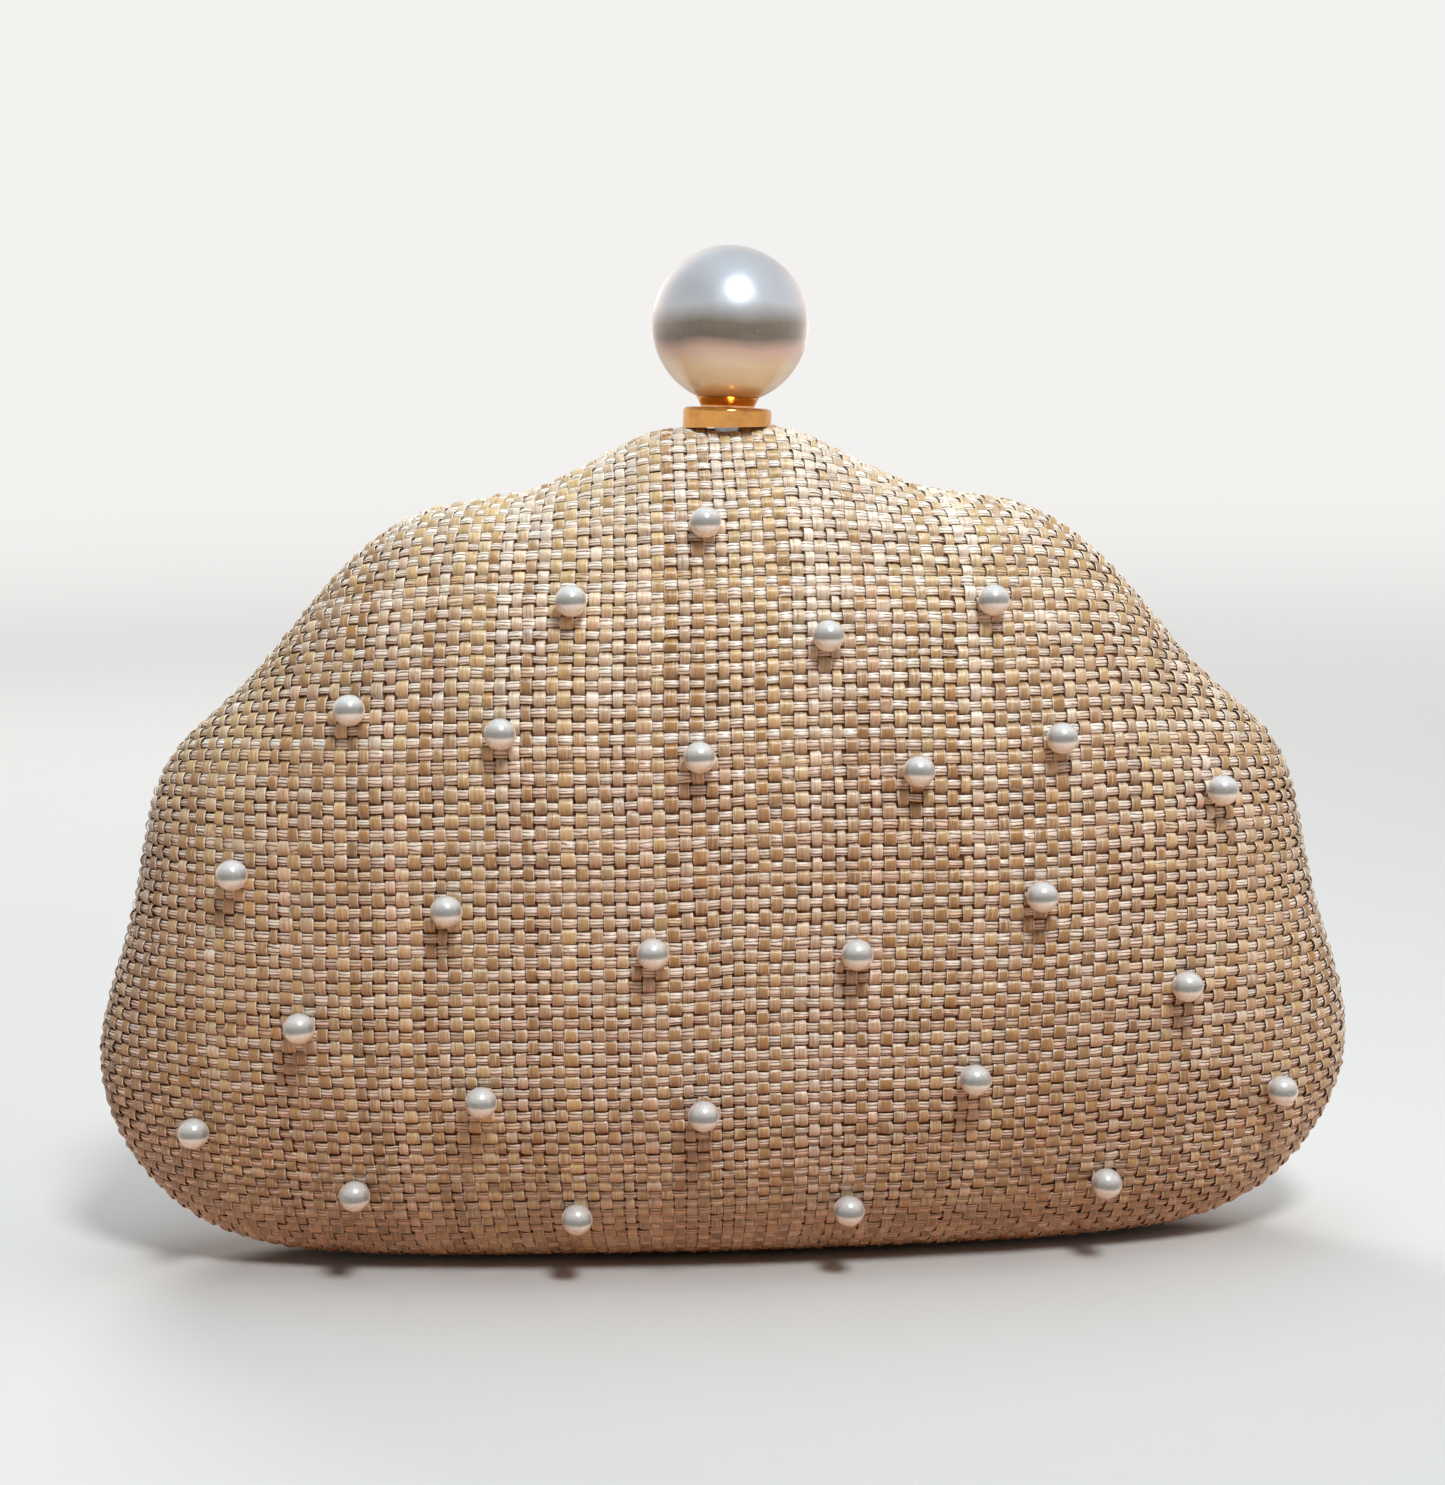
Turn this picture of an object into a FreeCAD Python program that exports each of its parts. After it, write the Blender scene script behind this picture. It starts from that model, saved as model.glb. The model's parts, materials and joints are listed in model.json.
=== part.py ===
"""Hard-case evening clutch: two woven-covered domes hinged at the base, with a pearl knob clasp.

Millimetres, +Z up, standing on its flat base at z = 0. The front faces -Y. Everything is built
about the seam plane y = 0 and moved by SEAM_Y at the end, so that the origin is the bottom
centre of the whole bag, pearls included.
"""
import FreeCAD, Part
import math
import os

V = FreeCAD.Vector

# ---- overall form --------------------------------------------------------------------------
BAG_HALF_WIDTH = 118.3        # widest point of the cloud outline
BAG_HEIGHT = 154.5            # crown of the cover above the base
DOME_DEPTH = 32.0             # each half, from the seam plane to its flat middle
BASE_TRIM = 2.0               # the outline dips this far below the base before it is flattened
BASE_SOFTNESS = 0.8           # rounding between the flat base and the domes
BASE_SINK = 0.2               # the eased base dips this far, and is trimmed to a true plane
POLE_SHARE = 0.415            # height of the domes' middle, as a share of BAG_HEIGHT
CAP_SHARE = 0.988             # flat middle of a dome, as a share of its ideal depth
DOME_POWER = 3.0              # how square the dome's section is
LOBE_FADE = 4.0               # how fast the valleys between the lobes fade towards the middle
CALM_WIDTH = 0.95             # the smooth oval that the valleys fade into, against the outline
CALM_TOP = 0.91
CALM_BOTTOM = 0.97

# Cloud outline from the top centre down the right side to the bottom centre, as shares of
# BAG_HALF_WIDTH and of the outline's height. The left side mirrors it.
CLOUD = [
    (0.000, 1.000), (0.065, 1.000), (0.125, 0.993), (0.293, 0.933), (0.464, 0.908), (0.618, 0.825),
    (0.753, 0.707), (0.874, 0.619), (0.919, 0.513), (0.951, 0.410), (0.998, 0.285),
    (0.975, 0.166), (0.857, 0.060), (0.683, 0.016), (0.421, 0.003), (0.000, 0.000),
]

# ---- walls and layers ----------------------------------------------------------------------
COVER_WALL = 1.0
SHELL_WALL = 1.6
LINING_WALL = 0.8
GLUE_GAP = 0.1                # between cover and shell, and beside the frame
PADDING_GAP = 0.2             # between shell and lining
EDGE_Y = 1.05                 # covers and shells start this far from the seam plane
ROLL_INSET = 1.4              # how far the covers curl in at the seam
ROLL_DEPTH = 3.4              # the curl ends this far from the seam plane
SHELL_LIP = 0.6               # extra shell thickness behind the curl
LIP_DEPTH = 12.0              # the extra thickness fades out by here

# ---- frames --------------------------------------------------------------------------------
SEAM_GAP = 0.15               # each frame's face from the seam plane
FLANGE_WALL = 0.8
FLANGE_INSET = 1.8            # outer edge of the flange, in from the outline
BAND_WALL = 1.2
BAND_DEPTH = 4.2              # the band reaches this far from the seam plane
BAND_TAPER_ROOM = 1.5         # room for the shell wall, which leans in along the band's depth

# ---- hinge ---------------------------------------------------------------------------------
HINGE_Z = 2.1
HINGE_LENGTH = 56.0
HINGE_KNUCKLES = 5
HINGE_MAX_DEG = 100.0
KNUCKLE_RADIUS = 1.5
KNUCKLE_GAP = 0.2
HINGE_PIN_RADIUS = 0.5
HINGE_PIN_HEAD_RADIUS = 1.1
HINGE_PIN_HEAD = 0.6
RUNNING_FIT = 0.05            # radial, between a pin and what turns on it
LEAF_WALL = 0.8
LEAF_SIDE_GAP = 0.35          # each leaf's web from the seam plane
LEAF_FOOT_DEPTH = 4.2         # the foot reaches this far from the seam plane
PART_ROOM = 0.3               # room around pieces that move past each other
SEAT_GAP = 0.05               # between pieces that are riveted or seated together

# ---- rivets --------------------------------------------------------------------------------
RIVET_RADIUS = 0.65
RIVET_HEAD_RADIUS = 1.2
RIVET_HEAD = 0.5
RIVET_FIT = 0.02
HINGE_RIVETS = 4
HINGE_RIVET_Y = 2.9
HINGE_RIVET_PITCH = 16.0

# ---- clasp ---------------------------------------------------------------------------------
CLASP_X = 0.6                 # the knob stands a little off the middle
KNOB_LEAN_DEG = 2.5           # and leans a little to the right
ROCK_MAX_DEG = 12.0
PIVOT_Y = -3.0
PIVOT_DROP = 11.1             # pivot below the crown
PIVOT_RADIUS = 0.8
PIVOT_HEAD_RADIUS = 1.5
PIVOT_HEAD = 0.6
EYE_RADIUS = 2.0
STEM_HALF_X = 2.2
STEM_HALF_Y = 1.5
ARM_HALF_X = 3.1
ARM_REACH = 3.3               # hook arm past the seam plane
ARM_WALL = 1.4
NOSE_WALL = 1.0
NOSE_DROP = 0.8
BRACKET_WALL = 0.8
BRACKET_HALF_X = 8.2
BRACKET_BACK_Y = 5.0
CHEEK_X = 4.2                 # inner face of each cheek from the clasp's middle
CHEEK_HALF_Y = 1.9
BRACKET_RIVET_X = 6.9
BRACKET_RIVET_Y = 2.6
COIL_RADIUS = 1.5
COIL_WIRE = 0.5
COIL_LEG_RADIUS = 0.22
COIL_PITCH = 0.45
COIL_TURNS = 3
COIL_LEG = 3.6

COLLAR_RADIUS = 8.15
COLLAR_WALL = 3.0
COLLAR_EDGE = 0.9             # rounding of the collar's top edge
COLLAR_ROOM = 0.35            # middle of the leaning collar above the crown
COLLAR_SETTLE = 0.22          # its level underside below the crown's peak, over the eased edges
CUP_NECK_RADIUS = 5.0
CUP_LIP_RADIUS = 5.8
CUP_NECK = 0.6
KNOB_RADIUS = 14.25
STUD_RADIUS = 1.0
STUD_IN_STEM = 5.0
STUD_IN_PEARL = 12.0
STUD_FIT = 0.02

# ---- catch ---------------------------------------------------------------------------------
CATCH_WALL = 0.4
CATCH_FOOT_HALF_X = 7.5
CATCH_LEAF_HALF_X = 3.0
CATCH_WEB_Y = 5.0             # outer face of the web that hangs from the foot
CATCH_LEAF_END = 0.3
CATCH_NOSE_ROOM = 0.5         # leaf below the hook nose
CATCH_BUMP_RADIUS = 0.8
CATCH_BUMP_RISE = 1.1
CATCH_NOSE_GAP = 0.1
CATCH_RIVET_X = 5.5
CATCH_RIVET_Y = 3.1

# ---- pearls on the front -------------------------------------------------------------------
PEARL_RADIUS = 3.0
PEARL_SEAT = 0.35             # flat that each pearl is seated on, cut into the sphere
PEARL_STANDOFF = 0.05
PEARL_PIN_RADIUS = 0.4
PEARL_PIN_DEPTH = 4.0
PEARL_PIN_HEAD_RADIUS = 1.2
PEARL_PIN_HEAD = 0.6
PEARL_PIN_SINK = 0.4          # each head lies this far below the shell's inside
PIN_FIT = 0.05
# Six staggered rows, as percentages of BAG_HALF_WIDTH across and of BAG_HEIGHT up.
PEARL_ROWS = [
    [(-3.9, 88.5)],
    [(-23.8, 80.1), (13.6, 76.1), (38.5, 79.4)],
    [(-56.4, 68.2), (-34.5, 65.9), (-5.6, 63.2), (26.6, 61.1), (48.2, 64.1), (73.4, 57.1)],
    [(-74.4, 49.8), (-42.9, 46.3), (-12.9, 41.1), (17.4, 40.5), (45.0, 46.5), (67.8, 35.0)],
    [(-82.5, 19.0), (-65.2, 32.6), (-38.6, 24.1), (-5.6, 22.1), (35.2, 25.4), (84.8, 20.7)],
    [(-58.4, 12.0), (-24.8, 9.0), (16.7, 9.3), (56.9, 11.0)],
]

# ---- slip pocket on the rear lining --------------------------------------------------------
POCKET_WALL = 0.6
POCKET_GAP = 0.35
POCKET_HALF_WIDTH = 52.0
POCKET_BOTTOM = 22.0
POCKET_TOP = 84.0

# ---- sampling ------------------------------------------------------------------------------
STEPS_PER_SPAN = 2            # outline points between two points of the cloud
DOME_RINGS = 12               # spans between rings from the curl to the flat middle
CURL_RINGS = 3                # rings on the curl itself
FAR = 400.0                   # past every side of the bag
CUT_PAST = 0.8                # how far a hollow starts before the piece that it is cut from

# ---- values that follow --------------------------------------------------------------------
POLE_Z = POLE_SHARE * BAG_HEIGHT
OUTLINE_HEIGHT = BAG_HEIGHT + BASE_TRIM
SHELL_OUT = COVER_WALL + GLUE_GAP
SHELL_IN = SHELL_OUT + SHELL_WALL
LINING_OUT = SHELL_IN + PADDING_GAP
LINING_IN = LINING_OUT + LINING_WALL
BAND_OUT = SHELL_IN + SHELL_LIP + BAND_TAPER_ROOM
BAND_IN = BAND_OUT + BAND_WALL
BAND_TOP_Z = BAG_HEIGHT - BAND_IN
BAND_BASE_Z = BAND_IN
PIVOT_Z = BAG_HEIGHT - PIVOT_DROP
COLLAR_Z = BAG_HEIGHT + COLLAR_ROOM
COLLAR_FOOT_Z = BAG_HEIGHT - COLLAR_SETTLE
CUP_Z = COLLAR_Z + COLLAR_WALL
CUP_RISE = KNOB_RADIUS - math.sqrt(KNOB_RADIUS ** 2 - CUP_LIP_RADIUS ** 2)
KNOB_Z = CUP_Z + CUP_NECK + SEAT_GAP + KNOB_RADIUS
SEAM_Y = (2 * PEARL_RADIUS - PEARL_SEAT + PEARL_STANDOFF) / 2


# ---- basic solids --------------------------------------------------------------------------
def box(x0, x1, y0, y1, z0, z1):
    return Part.makeBox(x1 - x0, y1 - y0, z1 - z0, V(x0, y0, z0))


def rod(radius, start, end):
    along = end - start
    return Part.makeCylinder(radius, along.Length, start, along)


def fuse(shapes):
    return shapes[0].multiFuse(shapes[1:]).removeSplitter()


def front(shape):
    """The same shape on the other side of the seam plane."""
    return shape.mirror(V(0, 0, 0), V(0, 1, 0))


# ---- cloud outline and domes ---------------------------------------------------------------
def cloud_points():
    right = [V(x * BAG_HALF_WIDTH, 0, z * OUTLINE_HEIGHT - BASE_TRIM) for x, z in CLOUD]
    left = [V(-p.x, 0, p.z) for p in reversed(right[1:-1])]
    return right + left


def cloud_frame():
    """Points of the cloud outline with their outward directions, evenly along its spans."""
    points = cloud_points()
    knots = [0.0]
    for i, point in enumerate(points):
        after = points[(i + 1) % len(points)]
        knots.append(knots[-1] + math.sqrt(after.distanceToPoint(point)))
    curve = Part.BSplineCurve()
    curve.interpolate(Points=points, PeriodicFlag=True, Parameters=knots)
    frame = []
    for low, high in zip(knots, knots[1:]):
        for k in range(STEPS_PER_SPAN):
            at = low + (high - low) * k / STEPS_PER_SPAN
            along = curve.tangent(at)[0]
            frame.append((curve.value(at), V(-along.z, 0, along.x)))
    return frame


OUTLINE = cloud_frame()


def curl(y):
    """How far the covers curl in at a distance y from the seam plane."""
    if y >= ROLL_DEPTH:
        return 0.0
    share = (ROLL_DEPTH - y) / ROLL_DEPTH
    return ROLL_INSET * (1 - math.sqrt(1 - share ** 2))


def lip(y):
    """How far the shell's inside, and the lining on it, stand in near the seam plane."""
    return SHELL_LIP * max(0.0, 1 - y / LIP_DEPTH) ** 2


def calm_radius(angle, inset):
    """The smooth oval that the valleys fade into, in from the cover by inset."""
    half_width = CALM_WIDTH * BAG_HALF_WIDTH - inset
    if math.sin(angle) >= 0:
        half_height = CALM_TOP * (BAG_HEIGHT - POLE_Z) - inset
    else:
        half_height = CALM_BOTTOM * (POLE_Z + BASE_TRIM) - inset
    across = half_height * math.cos(angle)
    up = half_width * math.sin(angle)
    return half_width * half_height / math.sqrt(across ** 2 + up ** 2)


def flatten_base(z, inset):
    """Ease heights below the base up to it, keeping each layer's distance from the cover."""
    above = z - inset
    eased = (above + math.sqrt(above ** 2 + BASE_SOFTNESS ** 2)) / 2
    return inset + eased - BASE_SINK / (1 + max(0.0, above) ** 2)


def ring(inset, y, depth):
    """Closed wire of one layer at y: in from the outline by inset, on a dome this deep."""
    ideal = depth / CAP_SHARE
    share = (1 - (y / ideal) ** 2) ** (1 / DOME_POWER)
    fade = share ** LOBE_FADE
    points = []
    for point, outward in OUTLINE:
        inner = point - outward * inset
        angle = math.atan2(inner.z - POLE_Z, inner.x)
        outline_radius = math.hypot(inner.x, inner.z - POLE_Z)
        radius = share * (outline_radius * fade + calm_radius(angle, inset) * (1 - fade))
        height = POLE_Z + radius * math.sin(angle)
        points.append(V(radius * math.cos(angle), y, flatten_base(height, inset)))
    curve = Part.BSplineCurve()
    curve.interpolate(Points=points, PeriodicFlag=True, Parameters=list(range(len(points) + 1)))
    return Part.Wire(curve.toShape())


def dome_stops(start, depth):
    """Distances from the seam plane for the rings, by even steps of angle to the flat middle."""
    first = math.asin(start / depth)
    step = (math.pi / 2 - first) / DOME_RINGS
    return [depth * math.sin(first + step * k) for k in range(DOME_RINGS + 1)]


def dome(layer, start, edge):
    """Solid dome of one layer from y = start to its flat middle.

    layer is its depth in from the cover, and edge gives its further inset near the seam plane.
    """
    depth = DOME_DEPTH - layer
    stops = dome_stops(start, depth)
    if edge is curl:
        curl_stops = [start + (ROLL_DEPTH - start) * k / CURL_RINGS for k in range(CURL_RINGS)]
        stops = curl_stops + dome_stops(ROLL_DEPTH, depth)
    return Part.makeLoft([ring(layer + edge(y), y, depth) for y in stops], True)


def slab(inset, y0, y1):
    """Flat prism of the outline in from its edge, between two distances from the seam."""
    face = Part.Face(ring(inset, 0.0, DOME_DEPTH))
    face.translate(V(0, y0, 0))
    return face.extrude(V(0, y1 - y0, 0))


# ---- cuts that several pieces share --------------------------------------------------------
def base_cut():
    return box(-FAR, FAR, -FAR, FAR, -FAR, 0)


def hinge_relief():
    """V-groove along the base that lets the halves turn about the hinge axis."""
    slope = math.tan(math.radians(HINGE_MAX_DEG / 2))
    low = HINGE_Z + 1
    half = low * slope + SEAM_GAP
    corners = [V(-FAR, -SEAM_GAP, HINGE_Z), V(-FAR, -half, HINGE_Z - low)]
    corners += [V(-FAR, half, HINGE_Z - low), V(-FAR, SEAM_GAP, HINGE_Z)]
    profile = Part.Face(Part.makePolygon(corners + corners[:1]))
    return profile.extrude(V(2 * FAR, 0, 0))


def hinge_room():
    """Room around the knuckles and the pin heads, over the hinge's length."""
    half = HINGE_LENGTH / 2 + HINGE_PIN_HEAD + SEAT_GAP + PART_ROOM
    return rod(KNUCKLE_RADIUS + PART_ROOM, V(-half, 0, HINGE_Z), V(half, 0, HINGE_Z))


def hinge_cut():
    """The relief and the room for the hinge as one cutter."""
    return hinge_relief().fuse(hinge_room())


def leaf_slot():
    """Slot in the rear frame that the web of the hinge leaf rises through."""
    half = HINGE_LENGTH / 2 + PART_ROOM
    far_side = LEAF_SIDE_GAP + LEAF_WALL + GLUE_GAP
    return box(-half, half, 0, far_side, HINGE_Z, BAND_BASE_Z + LEAF_WALL)


def rock_shift(z):
    """How far the stem leans to the front at height z when the clasp is fully rocked."""
    return (z - PIVOT_Z) * math.sin(math.radians(ROCK_MAX_DEG))


def stem_room(lean_z, y_rear, top):
    """Passage for the clasp stem, as deep to the front as its lean at height lean_z."""
    side = STEM_HALF_X + PART_ROOM
    y_front = -(STEM_HALF_Y + rock_shift(lean_z) + PART_ROOM)
    return box(CLASP_X - side, CLASP_X + side, y_front, y_rear, PIVOT_Z, top)


def band_notch():
    band_top = BAG_HEIGHT - BAND_OUT
    return stem_room(band_top, 0, band_top + GLUE_GAP)


def flange_notch():
    side = STEM_HALF_X + PART_ROOM
    return box(CLASP_X - side, CLASP_X + side, -EDGE_Y, 0, PIVOT_Z, FAR)


def clasp_seat():
    """Flat seat milled under the band at the crown, for the bracket and the catch's foot."""
    half = BRACKET_HALF_X + PART_ROOM
    low = BAND_TOP_Z - BRACKET_WALL - RIVET_HEAD - PART_ROOM
    return box(CLASP_X - half, CLASP_X + half, 0, BAND_DEPTH + CUT_PAST,
               low, BAND_TOP_Z + SEAT_GAP)


def front_crown_notch():
    return stem_room(BAG_HEIGHT, 0, FAR)


def rear_crown_notch():
    side = STEM_HALF_X + PART_ROOM
    return box(CLASP_X - side, CLASP_X + side, 0, STEM_HALF_Y + PART_ROOM, PIVOT_Z, FAR)


# ---- layers of one half, built on the rear side --------------------------------------------
def half_cover():
    skin = dome(0.0, EDGE_Y, curl).cut(dome(COVER_WALL, EDGE_Y - CUT_PAST, curl))
    return skin.cut(base_cut()).cut(hinge_cut())


def half_shell():
    body = dome(SHELL_OUT, EDGE_Y, curl).cut(dome(SHELL_IN, EDGE_Y - CUT_PAST, lip))
    return body.cut(hinge_cut())


def half_lining():
    start = BAND_DEPTH + GLUE_GAP
    return dome(LINING_OUT, start, lip).cut(dome(LINING_IN, start - CUT_PAST, lip))


def half_frame():
    flange = slab(FLANGE_INSET, SEAM_GAP, SEAM_GAP + FLANGE_WALL)
    band = slab(BAND_OUT, SEAM_GAP, BAND_DEPTH)
    rim = flange.fuse(band).cut(slab(BAND_IN, -BAND_DEPTH, 2 * BAND_DEPTH))
    rim = rim.cut(hinge_cut()).cut(leaf_slot()).cut(clasp_seat())
    for x in hinge_rivet_places():
        rim = rim.cut(rivet_hole(V(x, HINGE_RIVET_Y, BAND_BASE_Z), V(0, 0, -1)))
    return rim.removeSplitter()


# ---- rivets --------------------------------------------------------------------------------
def hinge_rivet_places():
    middle = (HINGE_RIVETS - 1) / 2
    return [(k - middle) * HINGE_RIVET_PITCH for k in range(HINGE_RIVETS)]


def rivet(seat, inward, grip):
    """Rivet headed on seat, with a shank that runs inward through what it grips."""
    outside = seat - inward * (SEAT_GAP + RIVET_HEAD)
    under_head = seat - inward * SEAT_GAP
    head = rod(RIVET_HEAD_RADIUS, outside, under_head)
    return fuse([head, rod(RIVET_RADIUS, outside, seat + inward * grip)])


def rivet_hole(seat, inward):
    """Hole for a rivet's shank, a band's thickness either side of the seat."""
    reach = 2 * BAND_WALL
    return rod(RIVET_RADIUS + RIVET_FIT, seat - inward * reach, seat + inward * reach)


# ---- hinge ---------------------------------------------------------------------------------
def knuckle_spans():
    """x ranges of the knuckles, with a gap between neighbours."""
    pitch = HINGE_LENGTH / HINGE_KNUCKLES
    spans = []
    for k in range(HINGE_KNUCKLES):
        start = -HINGE_LENGTH / 2 + k * pitch
        spans.append((start + KNUCKLE_GAP / 2, start + pitch - KNUCKLE_GAP / 2))
    return spans


def hinge_leaf(own, others):
    """Leaf on the rear side: knuckles, a web up through the frame and a riveted foot."""
    half = HINGE_LENGTH / 2
    web_out = LEAF_SIDE_GAP + LEAF_WALL
    foot_z = BAND_BASE_Z + SEAT_GAP
    web = box(-half, half, LEAF_SIDE_GAP, web_out, HINGE_Z, foot_z + LEAF_WALL)
    foot = box(-half, half, LEAF_SIDE_GAP, LEAF_FOOT_DEPTH, foot_z, foot_z + LEAF_WALL)
    barrels = [rod(KNUCKLE_RADIUS, V(a, 0, HINGE_Z), V(b, 0, HINGE_Z)) for a, b in own]
    leaf = fuse([web, foot] + barrels)
    for a, b in others:
        low = V(a - KNUCKLE_GAP, 0, HINGE_Z)
        high = V(b + KNUCKLE_GAP, 0, HINGE_Z)
        leaf = leaf.cut(rod(KNUCKLE_RADIUS + PART_ROOM, low, high))
    bore = HINGE_PIN_RADIUS + RUNNING_FIT
    leaf = leaf.cut(rod(bore, V(-FAR, 0, HINGE_Z), V(FAR, 0, HINGE_Z)))
    for x in hinge_rivet_places():
        leaf = leaf.cut(rivet_hole(V(x, HINGE_RIVET_Y, foot_z), V(0, 0, -1)))
    return leaf


def hinge_rivets():
    seat_z = BAND_BASE_Z + SEAT_GAP + LEAF_WALL
    grip = LEAF_WALL + SEAT_GAP + BAND_WALL
    places = [V(x, HINGE_RIVET_Y, seat_z) for x in hinge_rivet_places()]
    return Part.makeCompound([rivet(place, V(0, 0, -1), grip) for place in places])


def hinge_pin():
    half = HINGE_LENGTH / 2
    pieces = [rod(HINGE_PIN_RADIUS, V(-half, 0, HINGE_Z), V(half, 0, HINGE_Z))]
    for side in (-1, 1):
        inner = V(side * half, 0, HINGE_Z)
        outer = V(side * (half + HINGE_PIN_HEAD), 0, HINGE_Z)
        pieces.append(rod(HINGE_PIN_HEAD_RADIUS, inner, outer))
    return fuse(pieces)


# ---- clasp ---------------------------------------------------------------------------------
def lean(shape):
    """Tilt a piece of the knob to the right about the middle of the collar's underside."""
    tilted = shape.copy()
    tilted.rotate(V(CLASP_X, 0, COLLAR_Z), V(0, 1, 0), KNOB_LEAN_DEG)
    return tilted


def knob_rod(radius, z0, z1):
    return lean(rod(radius, V(CLASP_X, 0, z0), V(CLASP_X, 0, z1)))


def pivot_rod(radius, half):
    """Rod on the clasp's pivot axis, this far to each side of the clasp's middle."""
    start = V(CLASP_X - half, PIVOT_Y, PIVOT_Z)
    return rod(radius, start, V(CLASP_X + half, PIVOT_Y, PIVOT_Z))


def arm_base_z():
    """Underside of the hook arm, whose top carries the legs of the spring."""
    return PIVOT_Z + COIL_RADIUS - COIL_WIRE / 2 - SEAT_GAP - ARM_WALL


def clasp_lever():
    """Eye on the pivot, stem up through the crown and hook arm back to the catch."""
    x = CLASP_X
    eye = pivot_rod(EYE_RADIUS, STEM_HALF_X)
    arm_low = arm_base_z()
    arm_high = arm_low + ARM_WALL
    shoulder_y = PIVOT_Y + COIL_RADIUS + COIL_WIRE + PART_ROOM
    root = box(x - STEM_HALF_X, x + STEM_HALF_X, PIVOT_Y, ARM_REACH, arm_low, arm_high)
    arm = box(x - ARM_HALF_X, x + ARM_HALF_X, shoulder_y, ARM_REACH, arm_low, arm_high)
    nose_y = ARM_REACH - NOSE_WALL
    nose = box(x - ARM_HALF_X, x + ARM_HALF_X, nose_y, ARM_REACH, arm_low - NOSE_DROP, arm_low)
    stem = box(x - STEM_HALF_X, x + STEM_HALF_X, -STEM_HALF_Y, STEM_HALF_Y,
               arm_low, COLLAR_FOOT_Z - SEAT_GAP)
    lever = fuse([eye, root, arm, nose, stem])
    lever = lever.cut(pivot_rod(PIVOT_RADIUS + RUNNING_FIT, FAR))
    return lever.cut(knob_rod(STUD_RADIUS + STUD_FIT, COLLAR_Z - STUD_IN_STEM, COLLAR_Z + 1))


def clasp_collar():
    """Disc that leans with the knob and is cut level underneath, close over the crown."""
    skirt = COLLAR_Z - COLLAR_FOOT_Z + 1
    disc = Part.makeCylinder(COLLAR_RADIUS, skirt + COLLAR_WALL, V(CLASP_X, 0, COLLAR_Z - skirt))
    top = [e for e in disc.Edges if abs(e.BoundBox.ZMin - CUP_Z) < SEAT_GAP]
    disc = lean(disc.makeFillet(COLLAR_EDGE, top[:1]))
    disc = disc.cut(box(-FAR, FAR, -FAR, FAR, 0, COLLAR_FOOT_Z))
    return disc.cut(knob_rod(STUD_RADIUS + STUD_FIT, COLLAR_Z - skirt - 1, CUP_Z + 1))


def pearl_cup():
    """Short neck with a lip that is hollowed to the pearl."""
    neck = Part.makeCylinder(CUP_NECK_RADIUS, CUP_NECK, V(CLASP_X, 0, CUP_Z + SEAT_GAP))
    lip_z = CUP_Z + SEAT_GAP + CUP_NECK / 2
    rise = CUP_RISE + CUP_NECK / 2
    lip = Part.makeCone(CUP_NECK_RADIUS, CUP_LIP_RADIUS, rise, V(CLASP_X, 0, lip_z))
    hollow = Part.makeSphere(KNOB_RADIUS + SEAT_GAP, V(CLASP_X, 0, KNOB_Z + SEAT_GAP))
    cup = fuse([neck, lip]).cut(hollow)
    return lean(cup).cut(knob_rod(STUD_RADIUS + STUD_FIT, COLLAR_Z, KNOB_Z))


def pearl_stud():
    low = COLLAR_Z - STUD_IN_STEM + SEAT_GAP
    return knob_rod(STUD_RADIUS, low, KNOB_Z - KNOB_RADIUS + STUD_IN_PEARL - SEAT_GAP)


def clasp_pearl():
    ball = lean(Part.makeSphere(KNOB_RADIUS, V(CLASP_X, 0, KNOB_Z + SEAT_GAP)))
    end = KNOB_Z - KNOB_RADIUS + STUD_IN_PEARL
    return ball.cut(knob_rod(STUD_RADIUS + STUD_FIT, CUP_Z, end))


def bracket_z():
    """Underside of the bracket's plate, which is riveted under the front frame."""
    return BAND_TOP_Z - SEAT_GAP - BRACKET_WALL


def clasp_bracket():
    """Plate under the front frame with two cheeks that carry the pivot pin."""
    x = CLASP_X
    low = bracket_z()
    edge_y = -LEAF_SIDE_GAP
    plate = box(x - BRACKET_HALF_X, x + BRACKET_HALF_X, -BRACKET_BACK_Y, edge_y,
                low, low + BRACKET_WALL)
    pieces = [plate]
    for side in (-1, 1):
        near = x + side * CHEEK_X
        far = x + side * (CHEEK_X + BRACKET_WALL)
        pieces.append(box(min(near, far), max(near, far), PIVOT_Y - CHEEK_HALF_Y,
                          PIVOT_Y + CHEEK_HALF_Y, PIVOT_Z - CHEEK_HALF_Y, low + BRACKET_WALL))
    bracket = fuse(pieces).cut(stem_room(low + BRACKET_WALL, 0, FAR))
    bracket = bracket.cut(pivot_rod(PIVOT_RADIUS + RIVET_FIT, FAR))
    for place in bracket_rivet_places():
        bracket = bracket.cut(rivet_hole(place, V(0, 0, 1)))
    return bracket


def bracket_rivet_places():
    return [V(CLASP_X + side * BRACKET_RIVET_X, -BRACKET_RIVET_Y, bracket_z())
            for side in (-1, 1)]


def bracket_rivets():
    grip = BRACKET_WALL + SEAT_GAP + BAND_WALL
    return Part.makeCompound([rivet(p, V(0, 0, 1), grip) for p in bracket_rivet_places()])


def clasp_pivot_pin():
    half = CHEEK_X + BRACKET_WALL + SEAT_GAP
    pieces = [pivot_rod(PIVOT_RADIUS, half)]
    for side in (-1, 1):
        inner = V(CLASP_X + side * half, PIVOT_Y, PIVOT_Z)
        outer = V(CLASP_X + side * (half + PIVOT_HEAD), PIVOT_Y, PIVOT_Z)
        pieces.append(rod(PIVOT_HEAD_RADIUS, inner, outer))
    return fuse(pieces)


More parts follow.
